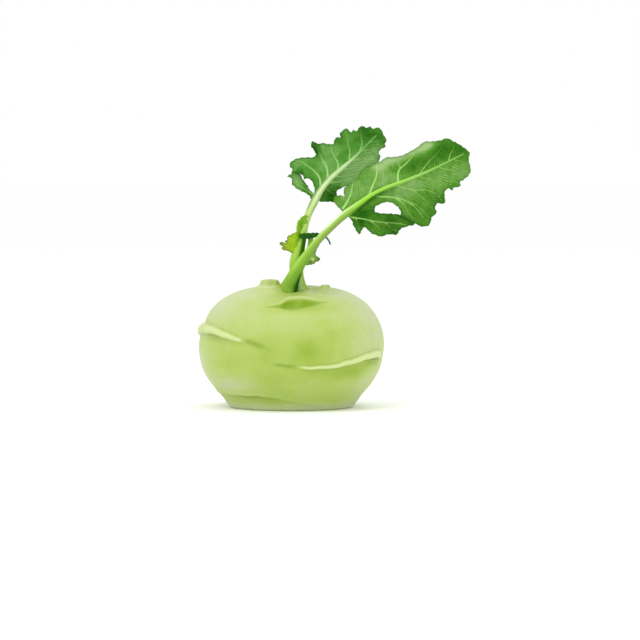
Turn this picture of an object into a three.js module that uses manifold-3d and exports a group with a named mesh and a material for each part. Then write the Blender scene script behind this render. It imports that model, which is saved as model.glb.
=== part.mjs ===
// A kohlrabi as picked: the pale green swollen stem, ringed by the rims of old leaf scars, with the two
// young leaves that are left on its crown. Millimetres, +Z up, the origin at the centre of the flat spot
// under the swollen stem, the front towards -Y.
import * as THREE from "three";
import { mergeVertices } from "three/addons/utils/BufferGeometryUtils.js";
import Module from "manifold-3d";

const wasm = await Module();
wasm.setup();

// ---- Driving dimensions ----

// The swollen stem's half outline, [radius, height], from the flat spot it rests on to the middle of its crown.
const FLAT_RADIUS = 29.8;
const BULB_OUTLINE = [
  [FLAT_RADIUS, 0], [31.3, 1], [32.8, 3], [35.1, 6], [37.7, 9], [40.2, 12], [42.7, 16], [44.5, 20], [45.5, 25],
  [45.8, 30], [45.5, 35], [44.6, 40], [43.1, 44], [40.8, 48], [37.8, 51.5], [33.9, 54.5], [29, 57], [23.7, 58.8],
  [18.5, 59.7], [13, 60.1], [6, 59.8],
];
const CROWN_HEIGHT = 59.6;
const CROWN_LEAN = 0.13; // how much higher the crown is towards the back, per millimetre of depth

// Rims round the old leaf scars: stations of [azimuth, height, how far it stands out], the azimuth in degrees,
// 0 at the front and 90 at the right. A rim slopes over the height "above" to its crest, and under the crest
// falls back to the skin over the height "below".
const SCAR_RIMS = [
  { // left, upper
    above: 2.2, below: 5,
    stations: [[-166, 34, 0], [-145, 36.4, 1.1], [-125, 38.8, 1.7], [-106, 40.5, 2.1], [-92, 41.2, 2.2],
      [-78, 41.5, 2], [-65, 41.2, 1.7], [-51, 39.9, 1.3], [-34, 37, 0.7], [-25, 35.8, 0]],
  },
  { // right, middle
    above: 5.5, below: 1.6,
    stations: [[1, 24.2, 0], [12, 22.9, 0.6], [22, 22.5, 0.9], [33, 23.6, 1.1], [45, 26.1, 1.3], [55, 27.9, 1.4],
      [68, 28.2, 1.5], [82, 27.6, 1.3], [97, 26.6, 0.9], [112, 25.6, 0.5], [126, 24.6, 0]],
  },
  { // left, at the foot
    above: 3.5, below: 0.8,
    stations: [[-112, 6.4, 0], [-92, 7.8, 0.5], [-62, 8.2, 0.6], [-44, 8.1, 0.6], [-15, 7.9, 0.5], [-5, 6.4, 0.5],
      [10, 4.6, 0.45], [26, 2.8, 0.4], [40, 1.7, 0]],
  },
  { // back, at the foot
    above: 4, below: 1.2,
    stations: [[104, 11, 0], [120, 13.6, 0.8], [140, 15.5, 1.2], [160, 16, 1.3], [180, 15.3, 1.1], [200, 13.4, 0.7],
      [217, 11, 0]],
  },
  { // back, upper
    above: 3, below: 1.4,
    stations: [[108, 42, 0], [123, 44.8, 0.8], [143, 46.8, 1.3], [163, 46.9, 1.3], [179, 45.6, 0.8], [194, 43.4, 0]],
  },
  { // back, middle
    above: 3, below: 4,
    stations: [[163, 22.6, 0], [180, 25.2, 0.8], [200, 27.4, 1.4], [220, 28, 1.5], [240, 26.6, 1.1], [256, 24.4, 0.5],
      [269, 22.4, 0]],
  },
  { // front, the lip over the youngest scar
    above: 1, below: 0.7,
    stations: [[-19, 55.7, 0], [-10, 57, 0.5], [0, 57.6, 0.8], [10, 57.9, 0.9], [21, 57.7, 0.7], [29, 57, 0.5],
      [38, 56, 0]],
  },
];

// The hollow of the youngest scar, high on the front.
const FRONT_HOLLOW = { azimuth: 7, height: 56.1, width: 27, tall: 5.6, deep: 2, tilt: -58 };

// Cut stubs of stalks on the crown: centre, half widths, top, and how much lower the top is at the front.
const STUBS = [
  { at: [-10.8, -5], half: [4.8, 3.6], top: 62.7, slope: 0.42 },
  { at: [16.8, -5], half: [2.2, 2.4], top: 61, slope: 0.3 },
  { at: [1, 15], half: [3.4, 2.6], top: 64, slope: -0.1 },
];

const GAP = 0.3; // clearance between pieces that touch
const BLADE_THICK = 0.8;
const LEAF_LEAN = 2.5; // degrees that the leaves lean to the back
const LEAF_DROP = 2; // how far the heights in the leaves' tables are lowered
const BULB_ROWS = 30;
const BULB_COLUMNS = 72;
const BLADE_CELL = 3.3; // size of a blade's triangles
const EDGE_STEP = 1.5; // and of the steps along its edge

// Leaf stalks, from the root to the tip of the midrib: [x, depth, height, radius], depth growing to the back.
const RIGHT_STALK = [
  [-2.4, -7.8, 57, 4.1], [-1.1, -7.8, 61.5, 3.7], [1.6, -7.8, 68, 3.1], [4.3, -7.8, 73.8, 2.7],
  [7.5, -8.2, 79.6, 2.35], [12.5, -9, 85.5, 2.15], [18.8, -9.8, 91.8, 2], [25.3, -10.2, 97.8, 2.1],
  [32.8, -10.4, 103, 2.1], [40.3, -10.2, 108, 1.8], [48.3, -9.8, 112, 1.4], [56.8, -9, 115.3, 1.05],
  [66.3, -7.6, 119.5, 0.8], [76.8, -5.4, 124.3, 0.6], [86, -2.8, 129, 0.4],
];
const LEFT_STALK = [
  [3.7, 0.8, 58, 4], [3.2, 0.9, 62.4, 3.7], [2.7, 1, 68.5, 3.45], [2.6, 1.5, 74.5, 3.3],
  [3.7, 2.2, 80.5, 2.75], [5.1, 3, 86.5, 2.2], [6.3, 4, 92.2, 1.9], [8.3, 5, 98.5, 1.85],
  [11.2, 6, 105.3, 2.2], [14.9, 6.4, 111.5, 1.9], [19.7, 6.6, 116.9, 1.5], [26, 7, 122.3, 1.05],
  [32, 7.7, 127.6, 0.8], [37.4, 8.7, 133, 0.6], [42.4, 10, 138, 0.45],
];

// Blade edges, [x, height] as seen from the front, in order round the blade. Every tooth is a point.
const RIGHT_BLADE_EDGE = [
  // basal lobe of the upper half and the notch above it
  [25.8, 99.5], [23.3, 102], [21.3, 104.5], [21.5, 107], [24.3, 107.8], [26.5, 107.5], [26, 110.3],
  // upper edge
  [27.3, 112.3], [29.8, 114], [32.3, 116.3], [34.5, 119.5], [37.3, 122.3], [41.8, 123.8], [44.8, 125],
  [47.3, 126.8], [51.3, 127], [55.3, 127.8], [59.3, 129.8], [62.8, 131.8], [66.3, 134.5], [70.3, 134.8],
  [74.3, 135.3], [77.8, 136.3],
  // tip
  [80.8, 135], [84.3, 133], [87.3, 130.8], [89, 129], [88.6, 125.5], [89.5, 121.5], [89, 118.5],
  // lower edge, with its teeth
  [86.3, 115.8], [84.3, 114.6], [84.2, 112.2], [81.3, 111.8], [80.4, 110.3], [78.3, 111.3], [76.5, 109],
  [76.6, 104], [72.8, 103.8], [71.8, 101.5], [72.5, 99], [70.3, 97], [68.8, 93], [64.8, 92.3], [62, 93.8],
  // the deep cut between the lower lobe and the basal lobe
  [58, 96], [55, 97.6], [54.3, 100.5], [51.3, 103.5], [47.8, 104.5], [44.3, 103.5], [41.8, 102],
  [42, 99.5], [45.8, 98.6], [49.3, 97.6], [54, 96], [57, 94.6],
  // basal lobe of the lower half
  [61, 92.6], [60.3, 91.3], [57.3, 91], [53.8, 90], [52.8, 88.2], [48.3, 88.3], [44.8, 87.2], [42.3, 88],
  [39.8, 89], [37.5, 91.3], [36, 91.8], [35, 90], [33.8, 88.4], [32.3, 90.5], [30.8, 93], [30, 95.5],
];
// The line along the deep cut from its inner end, on which side of it the basal lobe lies, and over
// what stretch of it the lobe closes the cut.
const RIGHT_CUT = { line: [[42, 100.8], [61.5, 93.2]], past: -1, shuts: [2, 14] };

const LEFT_BLADE_EDGE = [
  // basal lobe of the left half
  [10.3, 105.5], [9, 107.5], [7.3, 108.8], [4.8, 110], [2.3, 111.5], [0.5, 113], [0.3, 115], [-0.3, 116.5],
  [-2.4, 116.7], [-0.6, 117.9],
  // the deep cut above it
  [1.6, 118.2], [3.9, 117.3], [6.1, 115.4], [7.9, 113], [9.6, 110.2], [11.2, 108.8], [11.8, 110.6],
  [10.9, 113.5], [8.3, 116.4], [6.2, 117.6], [4.7, 118.5], [2.3, 119.4],
  // left edge, up to the curled tooth
  [0, 119.3], [0.4, 121], [-1, 122.5], [-0.3, 124.5], [1.8, 125.8], [4.3, 126.5], [7.8, 126.8], [11.3, 127],
  [12.1, 128.8], [11, 130.8], [9.8, 132.5], [10.2, 134.6], [11.8, 134.5], [13.3, 133.5],
  // upper edge
  [15.3, 134], [18.3, 133.5], [20.8, 133.5], [21.5, 135.5], [22.5, 136.8], [24.4, 136.8], [24.3, 139],
  [25.8, 140.3], [27.5, 141.4], [28.8, 140], [30, 139.4], [31, 140.5], [32.8, 140], [33.8, 141.8],
  [35.8, 142.4], [37.8, 141.5], [39.3, 142.4], [40.5, 141],
  // tip and right edge
  [42.3, 141.6], [44.3, 141.3], [45.5, 139.3], [46.3, 137.5], [47.6, 135.5], [46.7, 133.8], [47, 132.2],
  [45, 131], [43.6, 129.5], [44.4, 127], [43.3, 124.5], [40.8, 121.5], [39.8, 119], [36.3, 117],
  [34.3, 114.5], [30.3, 113.5], [26.8, 112.3], [23.3, 110.5], [22.4, 109], [23.3, 107], [21.8, 104.5],
  [18.8, 104.7], [15.8, 104.6],
];
const LEFT_CUT = {
  line: [[11.5, 109.6], [9.5, 113.2], [7.2, 116], [5.3, 117.8], [3, 118.7], [-3, 118.5]], past: 1, shuts: [8, 12.5],
};

// Small leaflets and wings along the stalks, as edges seen from the front, each with the depth of its root.
const STALK_FLAPS = {
  right: [
    { // wing under the front stalk, ending in a hooked tooth
      depth: -8.2, fall: 0.5,
      edge: [[14.4, 85.4], [13.5, 82.5], [12.4, 80.3], [12.2, 77.6], [14.2, 76.6], [13.8, 75.3], [12.2, 74.4],
        [10.2, 73.2], [7.8, 73], [5.6, 72.6], [4, 74.4], [8, 80], [12, 85]],
    },
  ],
  left: [
    { // ragged yellow lobe
      depth: 1.6, fall: 0.35,
      edge: [[2.8, 90], [1, 88.6], [-1.8, 87.8], [-2, 85.8], [-3.2, 84.9], [-2.4, 84], [-5.6, 84.4],
        [-5.8, 83.2], [-4.3, 82.4], [-5, 81.3], [-3.2, 80], [-0.8, 79.8], [0.8, 78.4], [2.8, 77.6], [3.8, 83],
        [3.6, 89]],
    },
    { // smaller lobe above it
      depth: 3, fall: 0.35,
      edge: [[7.4, 98.6], [6, 97.4], [4.2, 96.4], [2.7, 94.2], [2.4, 91.6], [2.6, 89.2], [4.8, 87.6],
        [6, 91.5], [7.8, 96]],
    },
  ],
};
// A narrow leaflet that leaves the back stalk and runs behind the front one: the line that it follows,
// [x, depth, height, half width].
const NARROW_LEAFLET = [
  [4.6, 1.6, 86.9, 1.2], [6.2, -0.8, 87.6, 1.8], [9.2, -1.8, 87.9, 2], [13, -2.2, 88.1, 1.7],
  [16.4, -2.6, 87.4, 1.1], [18.3, -2.8, 85.8, 0.7], [19.3, -2.8, 83.4, 0.4],
];
const LEAFLET_THICK = 0.9;

const COLOURS = {
  bulb: "#bcd47c",
  stalk: "#a6d25e",
  stalkPale: "#c4e08c",
  blade: "#5d9a3c",
  bladeDark: "#4f8f36",
};

// ---- Solids ----

function solidOf(geometry) {
  const bare = geometry.clone();
  bare.deleteAttribute("normal");
  bare.deleteAttribute("uv");
  const merged = mergeVertices(bare, 1e-4);
  return new wasm.Manifold(new wasm.Mesh({
    numProp: 3,
    vertProperties: new Float32Array(merged.attributes.position.array),
    triVerts: new Uint32Array(merged.index.array),
  }));
}

function geometryOf(solid) {
  const mesh = solid.getMesh();
  const positions = new Float32Array(mesh.numVert * 3);
  for (let i = 0; i < mesh.numVert; i++) {
    positions.set(mesh.vertProperties.subarray(i * mesh.numProp, i * mesh.numProp + 3), i * 3);
  }
  const geometry = new THREE.BufferGeometry();
  geometry.setAttribute("position", new THREE.BufferAttribute(positions, 3));
  geometry.setIndex(new THREE.BufferAttribute(new Uint32Array(mesh.triVerts), 1));
  geometry.computeVertexNormals();
  return geometry;
}

function indexedGeometry(points, triangles) {
  const geometry = new THREE.BufferGeometry().setFromPoints(points);
  geometry.setIndex(triangles);
  return geometry;
}

// A closed skin over rings of points, each ring with the same count, closed by a point at either end.
function skin(first, rings, last) {
  const around = rings[0].length;
  const points = [first, ...rings.flat(), last];
  const end = points.length - 1;
  const at = (ring, i) => 1 + ring * around + (i % around);
  const triangles = [];
  for (let i = 0; i < around; i++) {
    triangles.push(0, at(0, i + 1), at(0, i));
    for (let ring = 0; ring + 1 < rings.length; ring++) {
      triangles.push(at(ring, i), at(ring, i + 1), at(ring + 1, i + 1));
      triangles.push(at(ring, i), at(ring + 1, i + 1), at(ring + 1, i));
    }
    triangles.push(end, at(rings.length - 1, i), at(rings.length - 1, i + 1));
  }
  return indexedGeometry(points, triangles);
}

// A round bar along a smooth line through [x, y, z, radius] points. grow is added to every radius.
function bar(line, { steps, sides, grow = 0 }) {
  const path = new THREE.CatmullRomCurve3(line.map(([x, y, z]) => new THREE.Vector3(x, y, z)));
  const radii = new THREE.SplineCurve(line.map(([, , , r], i) => new THREE.Vector2(i / (line.length - 1), r)));
  const frames = path.computeFrenetFrames(steps);
  const rings = [];
  for (let k = 0; k <= steps; k++) {
    const t = path.getUtoTmapping(k / steps);
    const centre = path.getPoint(t);
    const radius = radii.getPoint(t).y + grow;
    rings.push(Array.from({ length: sides }, (_, i) => {
      const angle = (i / sides) * 2 * Math.PI;
      return centre.clone()
        .addScaledVector(frames.normals[k], radius * Math.cos(angle))
        .addScaledVector(frames.binormals[k], radius * Math.sin(angle));
    }));
  }
  return skin(path.getPoint(0), rings, path.getPoint(1));
}

const smoothstep = (low, high, x) => THREE.MathUtils.smoothstep(x, low, high);
const radians = THREE.MathUtils.degToRad;

// ---- The swollen stem ----

const bulbCurve = new THREE.SplineCurve([
  ...BULB_OUTLINE.map(([r, z]) => new THREE.Vector2(r, z)),
  new THREE.Vector2(0, CROWN_HEIGHT),
]);

// Slow lumps that keep the swollen stem from being a perfect turning.
function lump(azimuth, height) {
  const fade = Math.sin(Math.PI * THREE.MathUtils.clamp(height / CROWN_HEIGHT, 0, 1));
  return fade * (0.35 * Math.sin(2 * azimuth + 0.6) + 0.3 * Math.sin(3 * azimuth - 1.1 + height * 0.05));
}

// A point of the swollen stem's skin, raised by lift along the radius.
function skinPoint(radius, height, azimuth, lift = 0) {
  const r = radius + (radius > FLAT_RADIUS ? lump(azimuth, height) : 0) + lift;
  const x = r * Math.sin(azimuth);
  const y = -r * Math.cos(azimuth);
  return new THREE.Vector3(x, y, height + CROWN_LEAN * y * (height / CROWN_HEIGHT) ** 3);
}

function bulbBody() {
  const rings = [];
  for (let k = 0; k < BULB_ROWS; k++) {
    const { x: radius, y: height } = bulbCurve.getPointAt(k / BULB_ROWS);
    rings.push(Array.from({ length: BULB_COLUMNS }, (_, i) =>
      skinPoint(radius, height, (i / BULB_COLUMNS) * 2 * Math.PI)));
  }
  return solidOf(skin(new THREE.Vector3(0, 0, 0), rings, new THREE.Vector3(0, 0, CROWN_HEIGHT)));
}

// The outline's radius at a height, on its outer side.
function radiusAt(height) {
  let low = 0;
  let high = 1;
  for (let i = 0; i < 30; i++) {
    const middle = (low + high) / 2;
    if (bulbCurve.getPoint(middle).y < height) low = middle;
    else high = middle;
  }
  return bulbCurve.getPoint(low).x;
}

// A smooth curve through number rows, as a function of the share of the way along them.
function through(rows) {
  const curves = rows[0].map((_, column) => new THREE.SplineCurve(
    rows.map((row, i) => new THREE.Vector2(i, row[column]))));
  return (t) => curves.map((curve) => curve.getPoint(t).y);
}

// The row of a smooth curve at which its first number, which only grows, has a given value.
function rowWhere(curve, value) {
  let low = 0;
  let high = 1;
  for (let i = 0; i < 30; i++) {
    const middle = (low + high) / 2;
    if (curve(middle)[0] < value) low = middle;
    else high = middle;
  }
  return curve(low);
}

// A scar's rim: a crescent whose cross-section is a wedge with a rounded crest, sunk in the skin at both ends.
// Its stations are in step with the columns of the swollen stem, so that the two skins meet cleanly.
function scarRim({ above, below, stations }) {
  const curve = through(stations);
  const stride = 360 / BULB_COLUMNS;
  const first = Math.ceil(stations[0][0] / stride);
  const last = Math.floor(stations[stations.length - 1][0] / stride);
  const most = Math.max(...stations.map(([, , out]) => out));
  const sunk = -0.5;
  const rings = [];
  for (let column = first; column <= last; column++) {
    const [azimuth, height, out] = rowWhere(curve, column * stride);
    const share = 0.25 + 0.75 * THREE.MathUtils.clamp(out / most, 0, 1);
    const up = above * share;
    const down = below * share;
    const crest = out - 0.45 * (1 - share);
    const section = [[up, sunk], [up * 0.4, crest * 0.45], [up * 0.12, crest * 0.95], [-down * 0.1, crest],
      [-down * 0.4, crest * 0.5], [-down, sunk], [-down * 0.2, sunk - 1.6]];
    rings.push(section.map(([rise, lift]) =>
      skinPoint(radiusAt(height + rise), height + rise, radians(azimuth), lift)));
  }
  const middle = (ring) => ring.reduce((sum, p) => sum.add(p), new THREE.Vector3()).divideScalar(ring.length);
  return solidOf(skin(middle(rings[0]), rings, middle(rings[rings.length - 1])));
}

// The lens-shaped hollow under the front lip.
function frontHollow() {
  const { azimuth, height, width, tall, deep, tilt } = FRONT_HOLLOW;
  const lens = new THREE.SphereGeometry(1, 20, 12);
  lens.scale(width / 2, deep, tall / 2);
  lens.rotateX(radians(tilt)); // from facing the front to facing along the skin's normal
  lens.rotateZ(radians(azimuth));
  const centre = skinPoint(radiusAt(height), height, radians(azimuth));
  lens.translate(centre.x, centre.y, centre.z);
  return solidOf(lens);
}

// The stub of a cut stalk, with its sloping cut face.
function stub({ at: [x, y], half: [a, b], top, slope }) {
  const sides = 14;
  const ring = (height, spread, cut) => Array.from({ length: sides }, (_, i) => {
    const angle = (i / sides) * 2 * Math.PI;
    const dy = b * spread * Math.sin(angle);
    return new THREE.Vector3(x + a * spread * Math.cos(angle), y + dy, height + cut * slope * dy);
  });
  const crown = CROWN_HEIGHT + CROWN_LEAN * y;
  const rings = [ring(crown - 3, 1.35, 0), ring(crown, 1.25, 0), ring(top - 0.9, 1.06, 1), ring(top, 0.92, 1)];
  return solidOf(skin(new THREE.Vector3(x, y, crown - 3), rings, new THREE.Vector3(x, y, top - 0.4)));
}

// ---- Leaves ----

// Turns points that are given as seen from the front, [x, depth, height], into the leaves' leaning frame.
function leaned(x, depth, height) {
  const point = new THREE.Vector3(x, depth, height).applyAxisAngle(new THREE.Vector3(1, 0, 0), radians(-LEAF_LEAN));
  point.z -= LEAF_DROP;
  return point;
}

function leanedLine(line) {
  return line.map(([x, depth, height, radius]) => [...leaned(x, depth, height), radius]);
}

// Bowyer and Watson's Delaunay triangulation of points in the plane, as index triples.
function delaunay(points) {
  const far = 1e4;
  const all = [...points, [-far, -far], [far, -far], [0, far]];
  const count = points.length;
  const withCircle = (a, b, c) => {
    const [ax, ay] = all[a];
    const bx = all[b][0] - ax;
    const by = all[b][1] - ay;
    const cx = all[c][0] - ax;
    const cy = all[c][1] - ay;
    const d = 2 * (bx * cy - by * cx);
    const ux = (cy * (bx * bx + by * by) - by * (cx * cx + cy * cy)) / d;
    const uy = (bx * (cx * cx + cy * cy) - cx * (bx * bx + by * by)) / d;
    return { corners: [a, b, c], x: ax + ux, y: ay + uy, rr: ux * ux + uy * uy };
  };
  let triangles = [withCircle(count, count + 1, count + 2)];
  points.forEach(([x, y], p) => {
    const edges = new Map();
    triangles = triangles.filter((t) => {
      if ((x - t.x) ** 2 + (y - t.y) ** 2 >= t.rr) return true;
      for (let i = 0; i < 3; i++) {
        const a = t.corners[i];
        const b = t.corners[(i + 1) % 3];
        if (!edges.delete(b + "," + a)) edges.set(a + "," + b, [a, b]);
      }
      return false;
    });
    for (const [a, b] of edges.values()) triangles.push(withCircle(a, b, p));
  });
  return triangles.map((t) => t.corners).filter((c) => c.every((i) => i < count));
}

function isInside([x, y], edge) {
  let inside = false;
  edge.forEach(([ax, ay], i) => {
    const [bx, by] = edge[(i + 1) % edge.length];
    if ((ay > y) !== (by > y) && x < ax + ((y - ay) / (by - ay)) * (bx - ax)) inside = !inside;
  });
  return inside;
}

function distanceToSegment([x, y], [ax, ay], [bx, by]) {
  const t = THREE.MathUtils.clamp(
    ((x - ax) * (bx - ax) + (y - ay) * (by - ay)) / ((bx - ax) ** 2 + (by - ay) ** 2), 0, 1);
  return Math.hypot(x - ax - t * (bx - ax), y - ay - t * (by - ay));
}

// The edge with points added, so that no step is longer than step.
function subdivided(edge, step) {
  return edge.flatMap(([ax, ay], i) => {
    const [bx, by] = edge[(i + 1) % edge.length];
    const parts = Math.max(1, Math.round(Math.hypot(bx - ax, by - ay) / step));
    return Array.from({ length: parts }, (_, k) => [ax + ((bx - ax) * k) / parts, ay + ((by - ay) * k) / parts]);
  });
}

// A thin plate over a flat edge: place(u, v) bends it into space, and both faces have the same triangles.
function plate(edge, place, { thick, cell, step }) {
  const rim = subdivided(edge, step);
  const flat = [...rim];
  const rowHeight = (cell * Math.sqrt(3)) / 2;
  const us = edge.map(([u]) => u);
  const vs = edge.map(([, v]) => v);
  let row = 0;
  for (let v = Math.min(...vs) + 0.13; v < Math.max(...vs); v += rowHeight, row++) {
    for (let u = Math.min(...us) + (row % 2) * (cell / 2); u < Math.max(...us); u += cell) {
      const clear = rim.every((p, i) => distanceToSegment([u, v], p, rim[(i + 1) % rim.length]) > cell * 0.42);
      if (clear && isInside([u, v], edge)) flat.push([u, v]);
    }
  }
  const faces = delaunay(flat)
    .filter((c) => isInside([0, 1].map((k) => (flat[c[0]][k] + flat[c[1]][k] + flat[c[2]][k]) / 3), edge))
    .map(([a, b, c]) => {
      const turn = (flat[b][0] - flat[a][0]) * (flat[c][1] - flat[a][1])
        - (flat[b][1] - flat[a][1]) * (flat[c][0] - flat[a][0]);
      return turn > 0 ? [a, b, c] : [a, c, b];
    });
  const nudge = 0.2;
  const normals = flat.map(([u, v]) => {
    const along = place(u + nudge, v).sub(place(u - nudge, v));
    const up = place(u, v + nudge).sub(place(u, v - nudge));
    return along.cross(up).normalize();
  });
  const front = flat.map(([u, v], i) => place(u, v).addScaledVector(normals[i], thick / 2));
  const back = flat.map(([u, v], i) => place(u, v).addScaledVector(normals[i], -thick / 2));
  const count = flat.length;
  const triangles = [];
  const open = new Map();
  for (const [a, b, c] of faces) {
    triangles.push(a, b, c, count + a, count + c, count + b);
    for (const [p, q] of [[a, b], [b, c], [c, a]]) {
      if (!open.delete(q + "," + p)) open.set(p + "," + q, [p, q]);
    }
  }
  for (const [p, q] of open.values()) {
    triangles.push(q, p, count + p, q, count + p, count + q);
  }
  return indexedGeometry([...front, ...back], triangles);
}

// The midrib's stations, for a blade to find the nearest one.
function midribStations(stalk) {
  const path = new THREE.CatmullRomCurve3(stalk.map(([x, depth, height]) => new THREE.Vector3(x, depth, height)));
  const radii = new THREE.SplineCurve(stalk.map(([, , , r], i) => new THREE.Vector2(i / (stalk.length - 1), r)));
  const count = 160;
  let run = 0;
  let before = null;
  return Array.from({ length: count + 1 }, (_, k) => {
    const t = k / count;
    const point = path.getPoint(t);
    const ahead = path.getTangent(t);
    if (before) run += point.distanceTo(before);
    before = point;
    return { point, ahead, run, radius: radii.getPoint(t).y };
  });
}

// Where a point lies by the deep cut: how far along it, how far past it, and which way closes it.
function byCut({ line, past: sign }, x, height) {
  const point = new THREE.Vector2(x, height);
  const best = { away: Infinity };
  let run = 0;
  for (let i = 0; i + 1 < line.length; i++) {
    const from = new THREE.Vector2(...line[i]);
    const along = new THREE.Vector2(...line[i + 1]).sub(from);
    const length = along.length();
    along.normalize();
    const t = THREE.MathUtils.clamp(point.clone().sub(from).dot(along), 0, length);
    const away = point.distanceTo(from.clone().addScaledVector(along, t));
    if (away < best.away) {
      const closing = new THREE.Vector2(-along.y, along.x).multiplyScalar(-sign);
      const past = -Math.sign(point.clone().sub(from).dot(closing)) * away;
      Object.assign(best, { away, ahead: run + t, past, closing });
    }
    run += length;
  }
  return best;
}

// How a blade hangs on its midrib. It starts behind the rib, each half bends back from it, its edge waves, and
// the basal lobe past the deep cut is drawn further back and over the cut, so that it tucks behind the rest.
function bladePlace(stalk, cut, { bendUpper, bendLower, wave, waveLength, tuck, close }) {
  const stations = midribStations(stalk);
  const soft = 4; // distance over which the bend at the rib is rounded
  return (x, height) => {
    let best = stations[0];
    let least = Infinity;
    for (const s of stations) {
      const d = (s.point.x - x) ** 2 + (s.point.z - height) ** 2;
      if (d < least) {
        least = d;
        best = s;
      }
    }
    const beyond = (x - best.point.x) * best.ahead.x + (height - best.point.z) * best.ahead.z;
    const across = (height - best.point.z) * best.ahead.x - (x - best.point.x) * best.ahead.z;
    const reach = Math.sqrt(least + soft * soft) - soft;
    const bend = across > 0 ? bendUpper : bendLower;
    const phase = across > 0 ? 0.6 : 2.4;
    const ripple = wave * (reach / 20) ** 1.2 * Math.sin((2 * Math.PI * (best.run + beyond)) / waveLength + phase);
    const { ahead, past, closing } = byCut(cut, x, height);
    const drawn = past > 0 ? tuck * smoothstep(0, 9, ahead) : 0;
    const over = past > 0 ? close * smoothstep(...cut.shuts, ahead) * (1 - smoothstep(0, 9, past)) : 0;
    const depth = best.point.y + best.radius + GAP + BLADE_THICK / 2 + 0.1 + bend * reach + ripple + drawn;
    return leaned(x + closing.x * over, depth, height + closing.y * over);
  };
}

function flapSolid({ edge, depth, fall }) {
  const root = edge[edge.length - 1];
  const place = (x, height) => leaned(x, depth + fall * Math.abs(x - root[0]), height);
  return solidOf(plate(edge, place, { thick: BLADE_THICK, cell: 2.4, step: 1.8 }));
}

// The narrow leaflet is a flat blade seen on edge, lens-shaped across.
function narrowLeaflet() {
  const path = new THREE.CatmullRomCurve3(NARROW_LEAFLET.map(([x, depth, height]) => leaned(x, depth, height)));
  const widths = new THREE.SplineCurve(NARROW_LEAFLET.map(([, , , w], i) => new THREE.Vector2(i, w)));
  const steps = 12;
  const tilt = radians(45);
  const rings = Array.from({ length: steps + 1 }, (_, k) => {
    const t = k / steps;
    const centre = path.getPoint(t);
    const ahead = path.getTangent(t);
    const across = new THREE.Vector3(0, Math.cos(tilt), Math.sin(tilt));
    const up = new THREE.Vector3().crossVectors(ahead, across).normalize();
    const half = widths.getPoint(t).y;
    return [[1, 0], [0, 1], [-1, 0], [0, -1]].map(([a, b]) => centre.clone()
      .addScaledVector(across, a * half)
      .addScaledVector(up, b * LEAFLET_THICK / 2));
  });
  return solidOf(skin(path.getPoint(0), rings, path.getPoint(1)));
}

const STALK_BAR = { steps: 46, sides: 12 };

function stalkSolid(stalk, flaps) {
  return flaps.reduce((whole, flap) => whole.add(flap), solidOf(bar(leanedLine(stalk), STALK_BAR)));
}

// What a stalk's root takes out of the crown.
function socket(stalk) {
  return solidOf(bar(leanedLine(stalk).slice(0, 4), { steps: 12, sides: 12, grow: GAP }));
}

// ---- The whole ----

function material(colour, roughness) {
  return new THREE.MeshStandardMaterial({ color: colour, roughness, metalness: 0 });
}

function named(name, geometry, colour, roughness) {
  const mesh = new THREE.Mesh(geometry, material(colour, roughness));
  mesh.name = name;
  return mesh;
}

function bulb() {
  const grown = SCAR_RIMS.map(scarRim).concat(STUBS.map(stub));
  const whole = grown.reduce((sum, piece) => sum.add(piece), bulbBody().subtract(frontHollow()));
  return named("bulb", geometryOf(whole.subtract(socket(RIGHT_STALK)).subtract(socket(LEFT_STALK))),
    COLOURS.bulb, 0.5);
}

function leaf(name, stalk, flaps, edge, cut, hang, colours) {
  const group = new THREE.Group();
  const blade = plate(edge, bladePlace(stalk, cut, hang),
    { thick: BLADE_THICK, cell: BLADE_CELL, step: EDGE_STEP });
  group.add(named(name + "_stalk", geometryOf(stalkSolid(stalk, flaps)), colours.stalk, 0.5));
  group.add(named(name + "_blade", geometryOf(solidOf(blade)), colours.blade, 0.6));
  return group;
}

const kohlrabi = new THREE.Group();
kohlrabi.add(bulb());
kohlrabi.add(leaf("right_leaf", RIGHT_STALK, STALK_FLAPS.right.map(flapSolid), RIGHT_BLADE_EDGE, RIGHT_CUT,
  { bendUpper: 0.34, bendLower: 0.26, wave: 2.2, waveLength: 17, tuck: 2.6, close: 2.2 },
  { stalk: COLOURS.stalk, blade: COLOURS.blade }));
kohlrabi.add(leaf("left_leaf", LEFT_STALK, [...STALK_FLAPS.left.map(flapSolid), narrowLeaflet()],
  LEFT_BLADE_EDGE, LEFT_CUT,
  { bendUpper: 0.3, bendLower: 0.22, wave: 2, waveLength: 15, tuck: 2.4, close: 1.5 },
  { stalk: COLOURS.stalkPale, blade: COLOURS.bladeDark }));

export default kohlrabi;
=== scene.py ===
"""A kohlrabi as picked: the pale green swollen stem with the two young leaves that are left on its crown.

Lengths are in millimetres until a mesh is made, which is in metres. The leaves' tables give points as seen
from the front: x, depth (growing to the back) and height. In the code, v is a height as seen from the front.
"""

import math

import bpy
import numpy as np
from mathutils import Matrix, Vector, noise
from mathutils.geometry import delaunay_2d_cdt


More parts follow.
